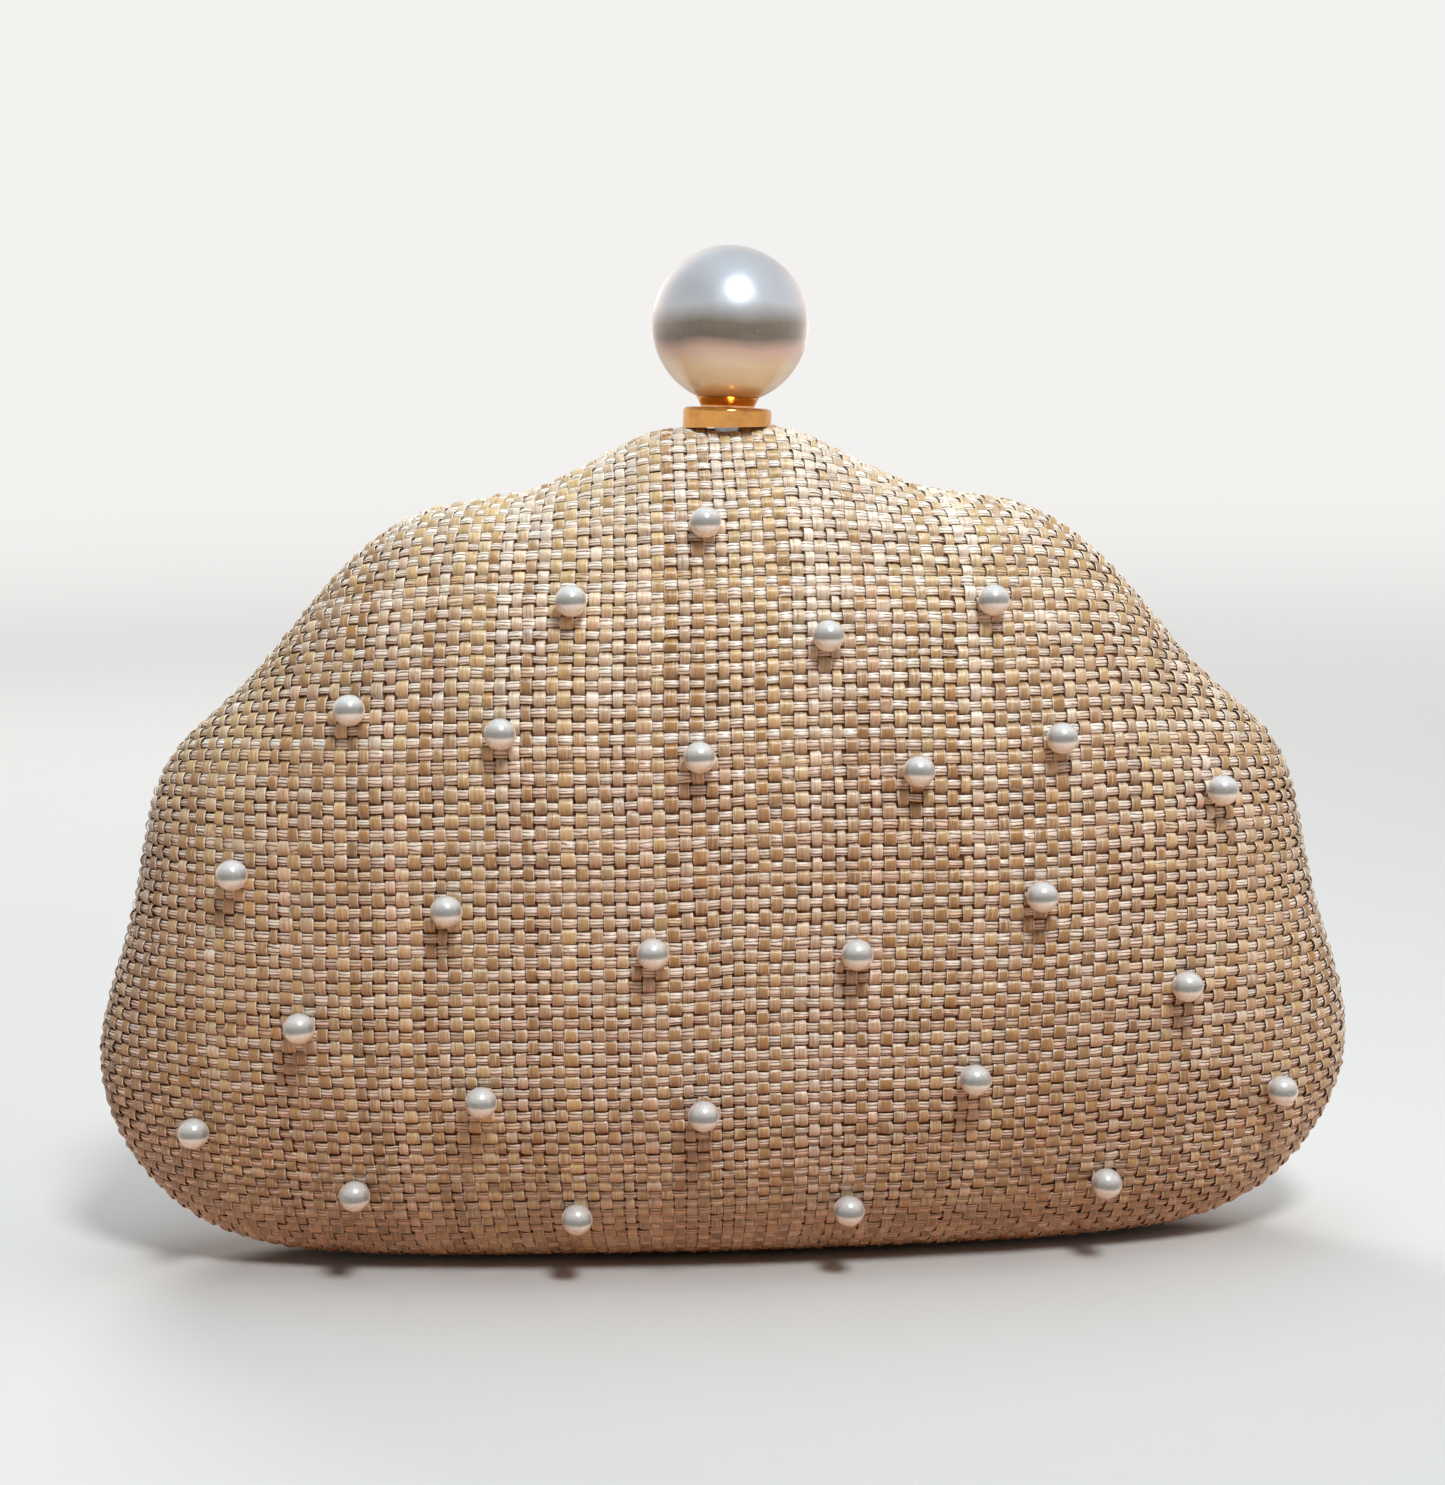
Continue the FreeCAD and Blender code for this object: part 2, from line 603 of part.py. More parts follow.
def clasp_spring():
    """Pair of torsion coils beside the eye: one leg up to the bracket, one on the arm."""
    wire = COIL_WIRE / 2
    leg_z = PIVOT_Z + COIL_RADIUS
    coils = []
    for side in (-1, 1):
        first = CLASP_X + side * (STEM_HALF_X + PART_ROOM + wire)
        pieces = []
        for turn in range(COIL_TURNS):
            centre = V(first + side * turn * COIL_PITCH, PIVOT_Y, PIVOT_Z)
            pieces.append(Part.makeTorus(COIL_RADIUS, wire, centre, V(1, 0, 0)))
        last = first + side * (COIL_TURNS - 1) * COIL_PITCH
        arm_leg = rod(COIL_LEG_RADIUS, V(first, PIVOT_Y, leg_z),
                      V(first, PIVOT_Y + COIL_LEG, leg_z))
        up_y = PIVOT_Y - COIL_RADIUS
        up_leg = rod(COIL_LEG_RADIUS, V(last, up_y, PIVOT_Z),
                     V(last, up_y, bracket_z() - SEAT_GAP))
        coils.append(fuse(pieces + [arm_leg, up_leg]))
    return Part.makeCompound(coils)


# ---- catch ---------------------------------------------------------------------------------
def catch_rivet_places():
    foot_z = BAND_TOP_Z - SEAT_GAP - CATCH_WALL
    return [V(CLASP_X + side * CATCH_RIVET_X, CATCH_RIVET_Y, foot_z) for side in (-1, 1)]


def catch_spring():
    """Leaf under the rear frame: foot, hanging web and a sprung leaf with a bump."""
    x = CLASP_X
    half = CATCH_LEAF_HALF_X
    foot_top = BAND_TOP_Z - SEAT_GAP
    leaf_top = arm_base_z() - NOSE_DROP - CATCH_NOSE_ROOM
    leaf_low = leaf_top - CATCH_WALL
    foot_y = STEM_HALF_Y + PART_ROOM
    foot = box(x - CATCH_FOOT_HALF_X, x + CATCH_FOOT_HALF_X, foot_y, CATCH_WEB_Y,
               foot_top - CATCH_WALL, foot_top)
    web = box(x - half, x + half, CATCH_WEB_Y - CATCH_WALL, CATCH_WEB_Y, leaf_low, foot_top)
    leaf = box(x - half, x + half, CATCH_LEAF_END, CATCH_WEB_Y, leaf_low, leaf_top)
    bump_y = ARM_REACH - NOSE_WALL - CATCH_NOSE_GAP - CATCH_BUMP_RADIUS
    bump_z = leaf_top + CATCH_BUMP_RISE - CATCH_BUMP_RADIUS
    bump = rod(CATCH_BUMP_RADIUS, V(x - half, bump_y, bump_z), V(x + half, bump_y, bump_z))
    spring = fuse([foot, web, leaf, bump])
    for place in catch_rivet_places():
        spring = spring.cut(rivet_hole(place, V(0, 0, 1)))
    return spring


def catch_rivets():
    grip = CATCH_WALL + SEAT_GAP + BAND_WALL
    return Part.makeCompound([rivet(p, V(0, 0, 1), grip) for p in catch_rivet_places()])


# ---- pearls on the front -------------------------------------------------------------------
def pearl_places(cover):
    """Point on the front cover and outward direction under each pearl."""
    places = []
    for row in PEARL_ROWS:
        for across, up in row:
            x = across / 100 * BAG_HALF_WIDTH
            z = up / 100 * BAG_HEIGHT
            line = Part.makeLine(V(x, -2 * DOME_DEPTH, z), V(x, 0, z))
            hits = line.common(cover)
            point = min(hits.Vertexes, key=lambda vertex: vertex.Y).Point
            places.append((point, surface_normal(cover, point)))
    return places


def surface_normal(cover, point):
    """Outward direction of the cover at a point on it, towards the front."""
    face = min(cover.Faces, key=lambda f: f.distToShape(Part.Vertex(point))[0])
    u, v = face.Surface.parameter(point)
    normal = face.normalAt(u, v)
    return normal if normal.y < 0 else normal * -1


def small_pearls(places):
    balls = []
    for point, out in places:
        centre = point + out * (PEARL_STANDOFF + PEARL_RADIUS - PEARL_SEAT)
        ball = Part.makeSphere(PEARL_RADIUS, centre)
        seat = rod(PEARL_RADIUS, point - out * PEARL_RADIUS, point + out * PEARL_STANDOFF)
        bore = rod(PEARL_PIN_RADIUS + STUD_FIT, point, point + out * PEARL_PIN_DEPTH)
        balls.append(ball.cut(seat).cut(bore))
    return Part.makeCompound(balls)


def pearl_pins(places):
    pins = []
    low = SHELL_IN - PEARL_PIN_SINK
    for point, out in places:
        start = point - out * low
        head = rod(PEARL_PIN_HEAD_RADIUS, start, point - out * (low - PEARL_PIN_HEAD))
        shank = rod(PEARL_PIN_RADIUS, start, point + out * (PEARL_PIN_DEPTH - SEAT_GAP))
        pins.append(fuse([head, shank]))
    return Part.makeCompound(pins)


def pin_holes(places):
    """Holes through cover and shell, with a counterbore for each head inside."""
    holes = []
    step = SHELL_IN - PEARL_PIN_SINK - PEARL_PIN_HEAD - PIN_FIT
    for point, out in places:
        inside = point - out * 2 * SHELL_IN
        holes.append(rod(PEARL_PIN_RADIUS + PIN_FIT, inside, point + out * PEARL_RADIUS))
        holes.append(rod(PEARL_PIN_HEAD_RADIUS + PIN_FIT, inside, point - out * step))
    return Part.makeCompound(holes)


# ---- slip pocket ---------------------------------------------------------------------------
def slip_pocket():
    outer = dome(LINING_IN + POCKET_GAP, BAND_DEPTH, lip)
    inner = dome(LINING_IN + POCKET_GAP + POCKET_WALL, BAND_DEPTH - CUT_PAST, lip)
    panel = box(-POCKET_HALF_WIDTH, POCKET_HALF_WIDTH, BAND_DEPTH + CUT_PAST, FAR,
                POCKET_BOTTOM, POCKET_TOP)
    return outer.cut(inner).common(panel)


# ---- the whole bag -------------------------------------------------------------------------
def cut_for_rivets(frame, places):
    for place in places:
        frame = frame.cut(rivet_hole(place, V(0, 0, 1)))
    return frame


def pieces():
    """Every piece by name, about the seam plane."""
    spans = knuckle_spans()
    rear_own = spans[0::2]
    front_own = spans[1::2]
    cover = half_cover()
    shell = half_shell()
    lining = half_lining()
    frame = half_frame()
    front_cover = front(cover)
    places = pearl_places(front_cover)
    holes = pin_holes(places)
    out = {}
    out["rear_cover"] = cover.cut(rear_crown_notch())
    out["rear_shell"] = shell.cut(rear_crown_notch())
    out["rear_lining"] = lining
    out["slip_pocket"] = slip_pocket()
    out["rear_frame"] = cut_for_rivets(frame.cut(rear_crown_notch()), catch_rivet_places())
    out["rear_hinge_leaf"] = hinge_leaf(rear_own, front_own)
    out["rear_hinge_rivets"] = hinge_rivets()
    out["hinge_pin"] = hinge_pin()
    out["catch_spring"] = catch_spring()
    out["catch_rivets"] = catch_rivets()
    out["front_cover"] = front_cover.cut(front_crown_notch()).cut(holes)
    out["front_shell"] = front(shell).cut(front_crown_notch()).cut(holes)
    out["front_lining"] = front(lining)
    notched = front(frame).cut(band_notch()).cut(flange_notch())
    out["front_frame"] = cut_for_rivets(notched, bracket_rivet_places())
    out["front_hinge_leaf"] = front(hinge_leaf(front_own, rear_own))
    out["front_hinge_rivets"] = front(hinge_rivets())
    out["front_pearls"] = small_pearls(places)
    out["pearl_pins"] = pearl_pins(places)
    out["clasp_bracket"] = clasp_bracket()
    out["clasp_bracket_rivets"] = bracket_rivets()
    out["clasp_pivot_pin"] = clasp_pivot_pin()
    out["clasp_spring"] = clasp_spring()
    out["clasp_lever"] = clasp_lever()
    out["clasp_collar"] = clasp_collar()
    out["pearl_cup"] = pearl_cup()
    out["pearl_stud"] = pearl_stud()
    out["clasp_pearl"] = clasp_pearl()
    return out


def write_parts():
    os.makedirs("parts", exist_ok=True)
    for name, shape in pieces().items():
        shape.translate(V(0, SEAM_Y, 0))
        shape.exportStep("parts/" + name + ".step")
        size = shape.BoundBox
        print(name, "solids", len(shape.Solids), "valid", shape.isValid(),
              "volume", round(shape.Volume, 1), "z", round(size.ZMin, 2), round(size.ZMax, 2))


write_parts()
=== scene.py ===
"""Evening bag in woven straw with a pearl knob: its looks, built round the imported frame."""

import json
import math

import bpy
import numpy as np
from bpy.props import FloatProperty, FloatVectorProperty, IntProperty, PointerProperty
from mathutils import Matrix, Vector
from mathutils.bvhtree import BVHTree
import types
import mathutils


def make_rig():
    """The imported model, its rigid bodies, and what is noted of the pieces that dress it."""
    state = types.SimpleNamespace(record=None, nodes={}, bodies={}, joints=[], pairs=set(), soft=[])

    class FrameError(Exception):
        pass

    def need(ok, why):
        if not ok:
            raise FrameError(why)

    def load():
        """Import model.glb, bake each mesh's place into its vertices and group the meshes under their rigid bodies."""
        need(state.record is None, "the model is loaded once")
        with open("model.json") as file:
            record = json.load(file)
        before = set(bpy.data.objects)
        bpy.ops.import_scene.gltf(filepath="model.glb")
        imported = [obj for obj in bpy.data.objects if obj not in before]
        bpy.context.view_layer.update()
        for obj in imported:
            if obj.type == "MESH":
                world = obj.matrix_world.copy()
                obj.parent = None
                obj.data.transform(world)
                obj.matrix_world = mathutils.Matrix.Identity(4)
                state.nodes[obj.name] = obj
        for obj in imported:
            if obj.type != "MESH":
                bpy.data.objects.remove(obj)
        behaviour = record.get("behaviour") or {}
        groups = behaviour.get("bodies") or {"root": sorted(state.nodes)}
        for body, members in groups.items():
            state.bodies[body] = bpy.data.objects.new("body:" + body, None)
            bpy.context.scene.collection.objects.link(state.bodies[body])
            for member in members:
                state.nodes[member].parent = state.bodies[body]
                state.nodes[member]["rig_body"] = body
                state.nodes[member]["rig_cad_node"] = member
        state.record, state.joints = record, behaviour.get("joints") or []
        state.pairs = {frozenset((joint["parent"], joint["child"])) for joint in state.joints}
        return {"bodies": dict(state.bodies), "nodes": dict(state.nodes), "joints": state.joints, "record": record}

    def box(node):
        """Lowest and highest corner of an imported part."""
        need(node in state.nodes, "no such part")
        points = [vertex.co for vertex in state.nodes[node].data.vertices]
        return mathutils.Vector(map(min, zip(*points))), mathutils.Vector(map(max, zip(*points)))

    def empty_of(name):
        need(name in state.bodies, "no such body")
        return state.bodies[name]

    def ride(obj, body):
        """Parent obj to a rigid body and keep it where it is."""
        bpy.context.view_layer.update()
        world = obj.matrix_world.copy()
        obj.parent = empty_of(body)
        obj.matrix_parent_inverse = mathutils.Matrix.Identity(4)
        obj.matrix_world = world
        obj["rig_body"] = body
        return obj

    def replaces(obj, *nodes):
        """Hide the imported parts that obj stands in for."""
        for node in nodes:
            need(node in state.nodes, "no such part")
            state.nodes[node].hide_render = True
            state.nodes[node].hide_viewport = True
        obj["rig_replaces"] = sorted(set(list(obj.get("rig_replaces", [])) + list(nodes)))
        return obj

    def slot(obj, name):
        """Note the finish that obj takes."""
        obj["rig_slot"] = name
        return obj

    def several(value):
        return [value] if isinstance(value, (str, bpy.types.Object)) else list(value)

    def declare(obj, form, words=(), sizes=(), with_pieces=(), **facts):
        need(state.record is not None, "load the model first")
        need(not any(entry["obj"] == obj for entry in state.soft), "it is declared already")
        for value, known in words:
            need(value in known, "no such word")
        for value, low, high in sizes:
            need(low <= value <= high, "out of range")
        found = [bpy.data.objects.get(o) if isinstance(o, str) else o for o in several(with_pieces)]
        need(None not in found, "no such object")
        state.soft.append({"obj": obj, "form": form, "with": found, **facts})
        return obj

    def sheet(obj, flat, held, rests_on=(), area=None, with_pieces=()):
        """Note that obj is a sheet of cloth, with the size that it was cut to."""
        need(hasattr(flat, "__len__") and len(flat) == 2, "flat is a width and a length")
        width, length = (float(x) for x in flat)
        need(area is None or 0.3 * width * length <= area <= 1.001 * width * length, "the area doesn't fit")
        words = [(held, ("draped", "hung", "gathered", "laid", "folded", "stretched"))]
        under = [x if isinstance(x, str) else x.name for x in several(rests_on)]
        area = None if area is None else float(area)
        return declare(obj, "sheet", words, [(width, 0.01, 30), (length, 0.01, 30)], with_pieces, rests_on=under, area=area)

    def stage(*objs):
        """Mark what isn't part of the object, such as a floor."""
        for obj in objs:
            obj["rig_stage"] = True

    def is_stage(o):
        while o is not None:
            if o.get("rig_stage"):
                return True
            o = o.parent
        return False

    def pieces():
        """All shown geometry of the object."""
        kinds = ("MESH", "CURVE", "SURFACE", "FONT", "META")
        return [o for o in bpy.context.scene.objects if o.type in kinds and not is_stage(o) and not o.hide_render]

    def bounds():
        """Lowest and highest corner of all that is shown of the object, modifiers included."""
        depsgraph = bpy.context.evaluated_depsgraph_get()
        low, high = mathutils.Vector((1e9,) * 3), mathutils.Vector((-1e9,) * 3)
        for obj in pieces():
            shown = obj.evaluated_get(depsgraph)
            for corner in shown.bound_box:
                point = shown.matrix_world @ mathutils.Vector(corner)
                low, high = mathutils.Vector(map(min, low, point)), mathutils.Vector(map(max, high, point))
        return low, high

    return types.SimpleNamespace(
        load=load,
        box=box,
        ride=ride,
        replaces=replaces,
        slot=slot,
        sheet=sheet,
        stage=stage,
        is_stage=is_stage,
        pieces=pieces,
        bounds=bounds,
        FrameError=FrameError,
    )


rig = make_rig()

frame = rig.load()
CAD_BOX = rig.bounds()

bl_info = {
    "name": "Woven evening bag",
    "version": (1, 0, 0),
    "blender": (4, 5, 0),
    "location": "View3D > Sidebar > Evening bag",
    "description": "Straw weave, pearls, gilt metal and satin for the evening bag",
    "category": "Object",
}

SIZE_FILE = "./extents.json"
FRONT, REAR = -1, 1
SEAM_Y = (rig.box("front_cover")[1].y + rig.box("rear_cover")[0].y) / 2
CROWN_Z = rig.box("rear_cover")[1].z


def tint(red, green, blue):
    """Linear colour of a screen colour given in steps of 255."""
    def linear(step):
        share = step / 255
        return share / 12.92 if share <= 0.04045 else ((share + 0.055) / 1.055) ** 2.4
    return (linear(red), linear(green), linear(blue))


def length(name, default, description):
    """Property that holds a length in metres."""
    return FloatProperty(name=name, description=description, default=default, min=0.0,
                         unit="LENGTH", subtype="DISTANCE", precision=5)


def share(name, default, description):
    """Property that holds a share from 0 to 1."""
    return FloatProperty(name=name, description=description, default=default, min=0.0, max=1.0,
                         subtype="FACTOR")


def colour(name, default, description):
    """Property that holds a linear colour."""
    return FloatVectorProperty(name=name, description=description, default=default, size=3,
                               min=0.0, max=1.0, subtype="COLOR")


def angle(name, degrees, description):
    """Property that holds an angle, given here in degrees."""
    return FloatProperty(name=name, description=description, default=math.radians(degrees),
                         unit="ROTATION", subtype="ANGLE")


# ---- settings ------------------------------------------------------------------------------
class BagStraw(bpy.types.PropertyGroup):
    pitch: length("Pitch", 0.00225, "Distance between neighbouring strips")
    warp_width: length("Upright width", 0.00212, "Width of the flat upright strips")
    weft_width: length("Level width", 0.00158, "Width of the rounder level strips")
    warp_rise: length("Upright rise", 0.00050, "How far an upright strip rises over a level one")
    weft_rise: length("Level rise", 0.00016, "How far a level strip rises over an upright one")
    warp_crown: length("Upright crown", 0.00012, "How far an upright strip's edges turn down")
    weft_crown: length("Level crown", 0.00036, "How far a level strip is arched across")
    warp_depth: length("Upright depth", 0.00040, "Upright strips' middle below the cover's outside")
    weft_depth: length("Level depth", 0.00030, "Level strips' middle below the cover's outside")
    uneven: share("Unevenness", 0.12, "Change in the strips' widths and spacing")
    passage: length("Passage", 0.0028, "Opening in each crown for the clasp's stem")
    pile: length("Pile", 0.00030, "How far the straw crowds up round the clasp's collar")
    ivory: colour("Ivory", tint(212, 184, 130), "Pale straw")
    tan: colour("Tan", tint(164, 118, 52), "Golden straw")
    blush: colour("Blush", tint(220, 188, 162), "Pinkish straw")
    white: colour("White", tint(244, 234, 220), "Bleached straw")
    # Tone for random blotches and fine streaks, and painted shade in the straw's dips and creases.
    painted_shade_and_blotch_tone: colour("Umber", tint(132, 90, 60), "Tone that darkens the straw's dips and creases")
    # Painted shade: the backing's dark tone stands in for the shade in the gaps between the strips.
    cloth: colour("Cloth", tint(108, 64, 38), "Backing seen in the gaps")
    fibres: IntProperty(name="Fibres", description="Loose fibres on each half", default=520)
    seed: IntProperty(name="Seed", description="Start of the weave's random numbers", default=7)


class BagPearl(bpy.types.PropertyGroup):
    # Apart from cream, the pearls' colours are painted reflections laid on by height: the gilt cup at the foot, a
    # pinkish band, a dark band round the middle and a cool sky on top.
    foot: colour("Foot", tint(212, 178, 116), "Large pearl by its bore, warmed by the metal")
    cream: colour("Cream", tint(240, 222, 188), "Large pearl's lower third")
    blush: colour("Blush", tint(216, 178, 160), "Large pearl's pinkish overtone")
    grey: colour("Grey", tint(100, 88, 68), "Large pearl's middle")
    cool: colour("Cool", tint(188, 198, 208), "Large pearl's bluish upper half")
    rose: colour("Rose", tint(248, 244, 236), "Small pearls' lower half")
    ash: colour("Ash", tint(136, 140, 136), "Small pearls' middle")
    snow: colour("Snow", tint(224, 228, 228), "Small pearls' top")
    roughness: share("Roughness", 0.26, "Softness of the nacre's reflections")


class BagMetal(bpy.types.PropertyGroup):
    gilt: colour("Gilt", tint(226, 162, 90), "Polished gilt metal")
    steel: colour("Steel", tint(186, 188, 192), "Brushed steel of the clasp")
    gilt_roughness: share("Gilt roughness", 0.14, "Softness of the gilt metal's reflections")
    steel_roughness: share("Steel roughness", 0.32, "Softness of the steel's reflections")


class BagInside(bpy.types.PropertyGroup):
    satin: colour("Satin", tint(214, 190, 160), "Champagne satin of the linings and the pocket")
    board: colour("Board", tint(168, 150, 126), "Moulded shell under the straw")
    pucker: length("Pucker", 0.00035, "Height of the satin's small folds")
    hem: length("Hem", 0.0012, "Radius of the hems and the piping")


class BagStage(bpy.types.PropertyGroup):
    distance: length("Distance", 0.450, "Camera from the seam between the halves")
    height: length("Height", 0.15775, "Camera above the floor")
    azimuth: angle("Azimuth", -3.087, "Camera's turn round the bag")
    pitch: angle("Pitch", 7.838, "Camera's tilt down")
    yaw: angle("Yaw", 0.109, "Camera's turn off the bag's middle")
    roll: angle("Roll", -0.622, "Camera's turn about its own line of sight")
    lens: FloatProperty(name="Lens", description="Focal length in millimetres", default=58.9,
                        min=1.0)
    floor: colour("Floor", tint(206, 205, 203), "Pale floor under the bag")
    paper: colour("Paper", tint(243, 242, 240), "Pale background all round")
    bounce: colour("Bounce", tint(206, 154, 118), "Floor as it lights the bag from below")


# ---- shader building -----------------------------------------------------------------------
class Wire:
    """A shader socket or number that turns Python arithmetic into Math nodes."""

    def __init__(self, finish, socket):
        self.finish = finish
        self.socket = socket

    def maths(self, operation, *values):
        return self.finish.add("ShaderNodeMath", {"operation": operation},
                               dict(enumerate(values)))

    def __add__(self, other): return self.maths("ADD", self, other)
    def __radd__(self, other): return self.maths("ADD", other, self)
    def __sub__(self, other): return self.maths("SUBTRACT", self, other)
    def __rsub__(self, other): return self.maths("SUBTRACT", other, self)
    def __mul__(self, other): return self.maths("MULTIPLY", self, other)
    def __rmul__(self, other): return self.maths("MULTIPLY", other, self)
    def __truediv__(self, other): return self.maths("DIVIDE", self, other)
    def __rtruediv__(self, other): return self.maths("DIVIDE", other, self)
    def __abs__(self): return self.maths("ABSOLUTE", self)

    def sine(self): return self.maths("SINE", self)
    def clamp(self): return self.maths("MAXIMUM", self.maths("MINIMUM", self, 1.0), 0.0)


class Finish:
    """A material or world under construction, with one method that adds every kind of node."""

    def __init__(self, name, owner=None):
        self.owner = owner or bpy.data.materials.new(name)
        self.owner.use_nodes = True
        self.tree = self.owner.node_tree
        self.tree.nodes.clear()

    def add(self, kind, settings=None, sockets=None, output=0):
        """Adds a node: its settings first, then its sockets, and returns one of its outputs."""
        node = self.tree.nodes.new(kind)
        for key, value in (settings or {}).items():
            if key == "stops":
                ramp = node.color_ramp.elements
                while len(ramp) < len(value):
                    ramp.new(1.0)
                for element, (place, shade) in zip(ramp, value):
                    element.position = place
                    element.color = (*shade, 1.0)
            else:
                setattr(node, key, value)
        for key, value in (sockets or {}).items():
            if isinstance(value, Wire):
                self.tree.links.new(value.socket, node.inputs[key])
            else:
                node.inputs[key].default_value = value
        return Wire(self, node.outputs[output]) if node.outputs else node

    def attribute(self, name, output="Fac"):
        return self.add("ShaderNodeAttribute", {"attribute_name": name}, output=output)

    def split(self, vector):
        """The three parts of a vector."""
        node = self.add("ShaderNodeSeparateXYZ", None, {0: vector}).socket.node
        return [Wire(self, socket) for socket in node.outputs]

    def join(self, x, y, z):
        return self.add("ShaderNodeCombineXYZ", None, {0: x, 1: y, 2: z})

    def place(self):
        """Places on the piece in millimetres, in the bag's own frame."""
        coords = self.add("ShaderNodeTexCoord", output="Object")
        return self.add("ShaderNodeVectorMath", {"operation": "SCALE"},
                        {0: coords, "Scale": 1000.0})

    def rays(self, *kinds):
        """1 for rays of these kinds, 0 for others."""
        outputs = self.add("ShaderNodeLightPath").socket.node.outputs
        total = Wire(self, outputs[kinds[0]])
        for kind in kinds[1:]:
            total = total + Wire(self, outputs[kind])
        return total.clamp()

    def noise(self, vector, scale, detail=2.0, roughness=0.5):
        return self.add("ShaderNodeTexNoise", None,
                        {"Vector": vector, "Scale": scale, "Detail": detail,
                         "Roughness": roughness})

    def ramp(self, value, low, high, to_low=0.0, to_high=1.0):
        return self.add("ShaderNodeMapRange", {"interpolation_type": "SMOOTHSTEP"},
                        {"Value": value, "From Min": low, "From Max": high,
                         "To Min": to_low, "To Max": to_high})

    def mix(self, factor, first, second, blend="MIX"):
        def solid(value):
            return value if isinstance(value, Wire) else (*value, 1.0)
        return self.add("ShaderNodeMix", {"data_type": "RGBA", "blend_type": blend},
                        {0: factor, 6: solid(first), 7: solid(second)}, output=2)

    def bump(self, height, strength, distance):
        return self.add("ShaderNodeBump", None,
                        {"Height": height, "Strength": strength, "Distance": distance})

    def surface(self, **sockets):
        """Principled surface from sockets named with _ for spaces."""
        named = {key.replace("_", " "): value for key, value in sockets.items()}
        shader = self.add("ShaderNodeBsdfPrincipled", None, named)
        self.add("ShaderNodeOutputMaterial", None, {"Surface": shader})
        return self.owner


def straw_finish(name, settings, grain_turn):
    """Straw strip: dye from the weave, fine fibres along it, pale edges that are partly painted highlight, and painted
    shade in its creases and dips.
    """
    finish = Finish(name)
    along, across, strip = finish.split(finish.attribute("strand", "Vector"))
    lift = finish.attribute("lift")
    crease = finish.attribute("crease")
    dye = finish.attribute("dye", "Color")
    painted_shade_and_blotch_tone, white = tuple(settings.painted_shade_and_blotch_tone), tuple(settings.white)
    fibres = finish.noise(finish.join(along * 0.14, across * 2.4, strip * 3.7), 1.0, 3.0, 0.65)
    fine = finish.noise(finish.join(along * 0.30, across * 7.0, strip * 5.1), 1.0, 2.0, 0.6)
    blotch = finish.noise(finish.join(along * 0.60, across * 0.8, strip * 2.3), 1.0, 2.0, 0.5)
    edge = finish.ramp(abs(across), 0.74, 0.92)
    shade = finish.mix(finish.ramp(fibres, 0.52, 0.72) * 0.55, dye, white)
    shade = finish.mix(finish.ramp(fine, 0.52, 0.34) * 0.36, shade, tuple(settings.tan))
    # Pale strip edges: partly the straw's own paler fold, partly a painted highlight where the edges catch the light.
    shade = finish.mix(edge * finish.ramp(blotch, 0.30, 0.52) * 0.85, shade, white)
    # Random blotches and fine streaks darken the straw, then painted shade darkens its creases and the places where
    # strips dip under their neighbours.
    for dark in (finish.ramp(blotch, 0.44, 0.24) * 0.4, finish.ramp(fine, 0.40, 0.26) * 0.5,
                 finish.ramp(crease, 0.30, 0.80), finish.ramp(lift, 0.15, -0.75) * 0.35):
        shade = finish.mix(dark, shade, painted_shade_and_blotch_tone, "MULTIPLY")
    height = fibres * 0.8 + fine * 0.5 - crease * 0.4
    rough = finish.ramp(fibres, 0.3, 0.8, 0.40, 0.52)
    return finish.surface(Base_Color=shade, Roughness=rough,
                          Normal=finish.bump(height, 0.5, 0.00009), Specular_IOR_Level=1.0,
                          Anisotropic=0.85, Anisotropic_Rotation=grain_turn,
                          Coat_Weight=0.35, Coat_Roughness=0.30)


def backing_finish(settings):
    """Cloth that the straw is glued to; its dark tone is painted shade for the gaps between the strips."""
    finish = Finish("straw_backing")
    place = finish.place()
    grain = finish.noise(place, 2.4, 3.0, 0.6)
    shade = finish.mix(grain, tuple(settings.cloth), tint(122, 80, 46))
    return finish.surface(Base_Color=shade, Roughness=finish.ramp(grain, 0.3, 0.7, 0.8, 0.95),
                          Normal=finish.bump(grain, 0.4, 0.0002))


def nacre_finish(name, settings, stops, scale, metallic, softness):
    """Pearl: painted reflections of its surroundings that change from its foot to its top, over its own cream nacre,
    under a clear lacquer.
    """
    finish = Finish(name)
    place = finish.place()
    drift = finish.noise(place, 0.10 * scale, 0.0)
    cloud = finish.noise(place, 0.5 * scale, 1.0)
    up = finish.attribute("up") * 0.5 + 0.5 + (drift - 0.5) * 0.08
    stops = [(place_up, tuple(shade)) for place_up, shade in stops]
    # Painted reflection: colour by height, from foot to top.
    shade = finish.add("ShaderNodeValToRGB", {"stops": stops}, {"Fac": up})
    shade = finish.mix(finish.ramp(cloud, 0.35, 0.75) * 0.04, shade, tuple(settings.cream))
    pit = finish.add("ShaderNodeTexVoronoi", None, {"Vector": place, "Scale": 0.42})
    speck = finish.ramp(pit, 0.06, 0.03)
    shade = finish.mix(speck * 0.5, shade, tuple(settings.cream))
    rough = finish.ramp(cloud, 0.2, 0.8, softness * 0.94, softness * 1.1)
    return finish.surface(Base_Color=shade, Roughness=rough,
                          Normal=finish.bump(cloud, 0.01, 0.0001), Metallic=metallic,
                          Coat_Weight=1.0, Coat_Roughness=0.15, Coat_IOR=1.7,
                          Sheen_Weight=1.0, Sheen_Roughness=0.45,
                          Sheen_Tint=(1.0, 0.89, 0.85, 1.0))


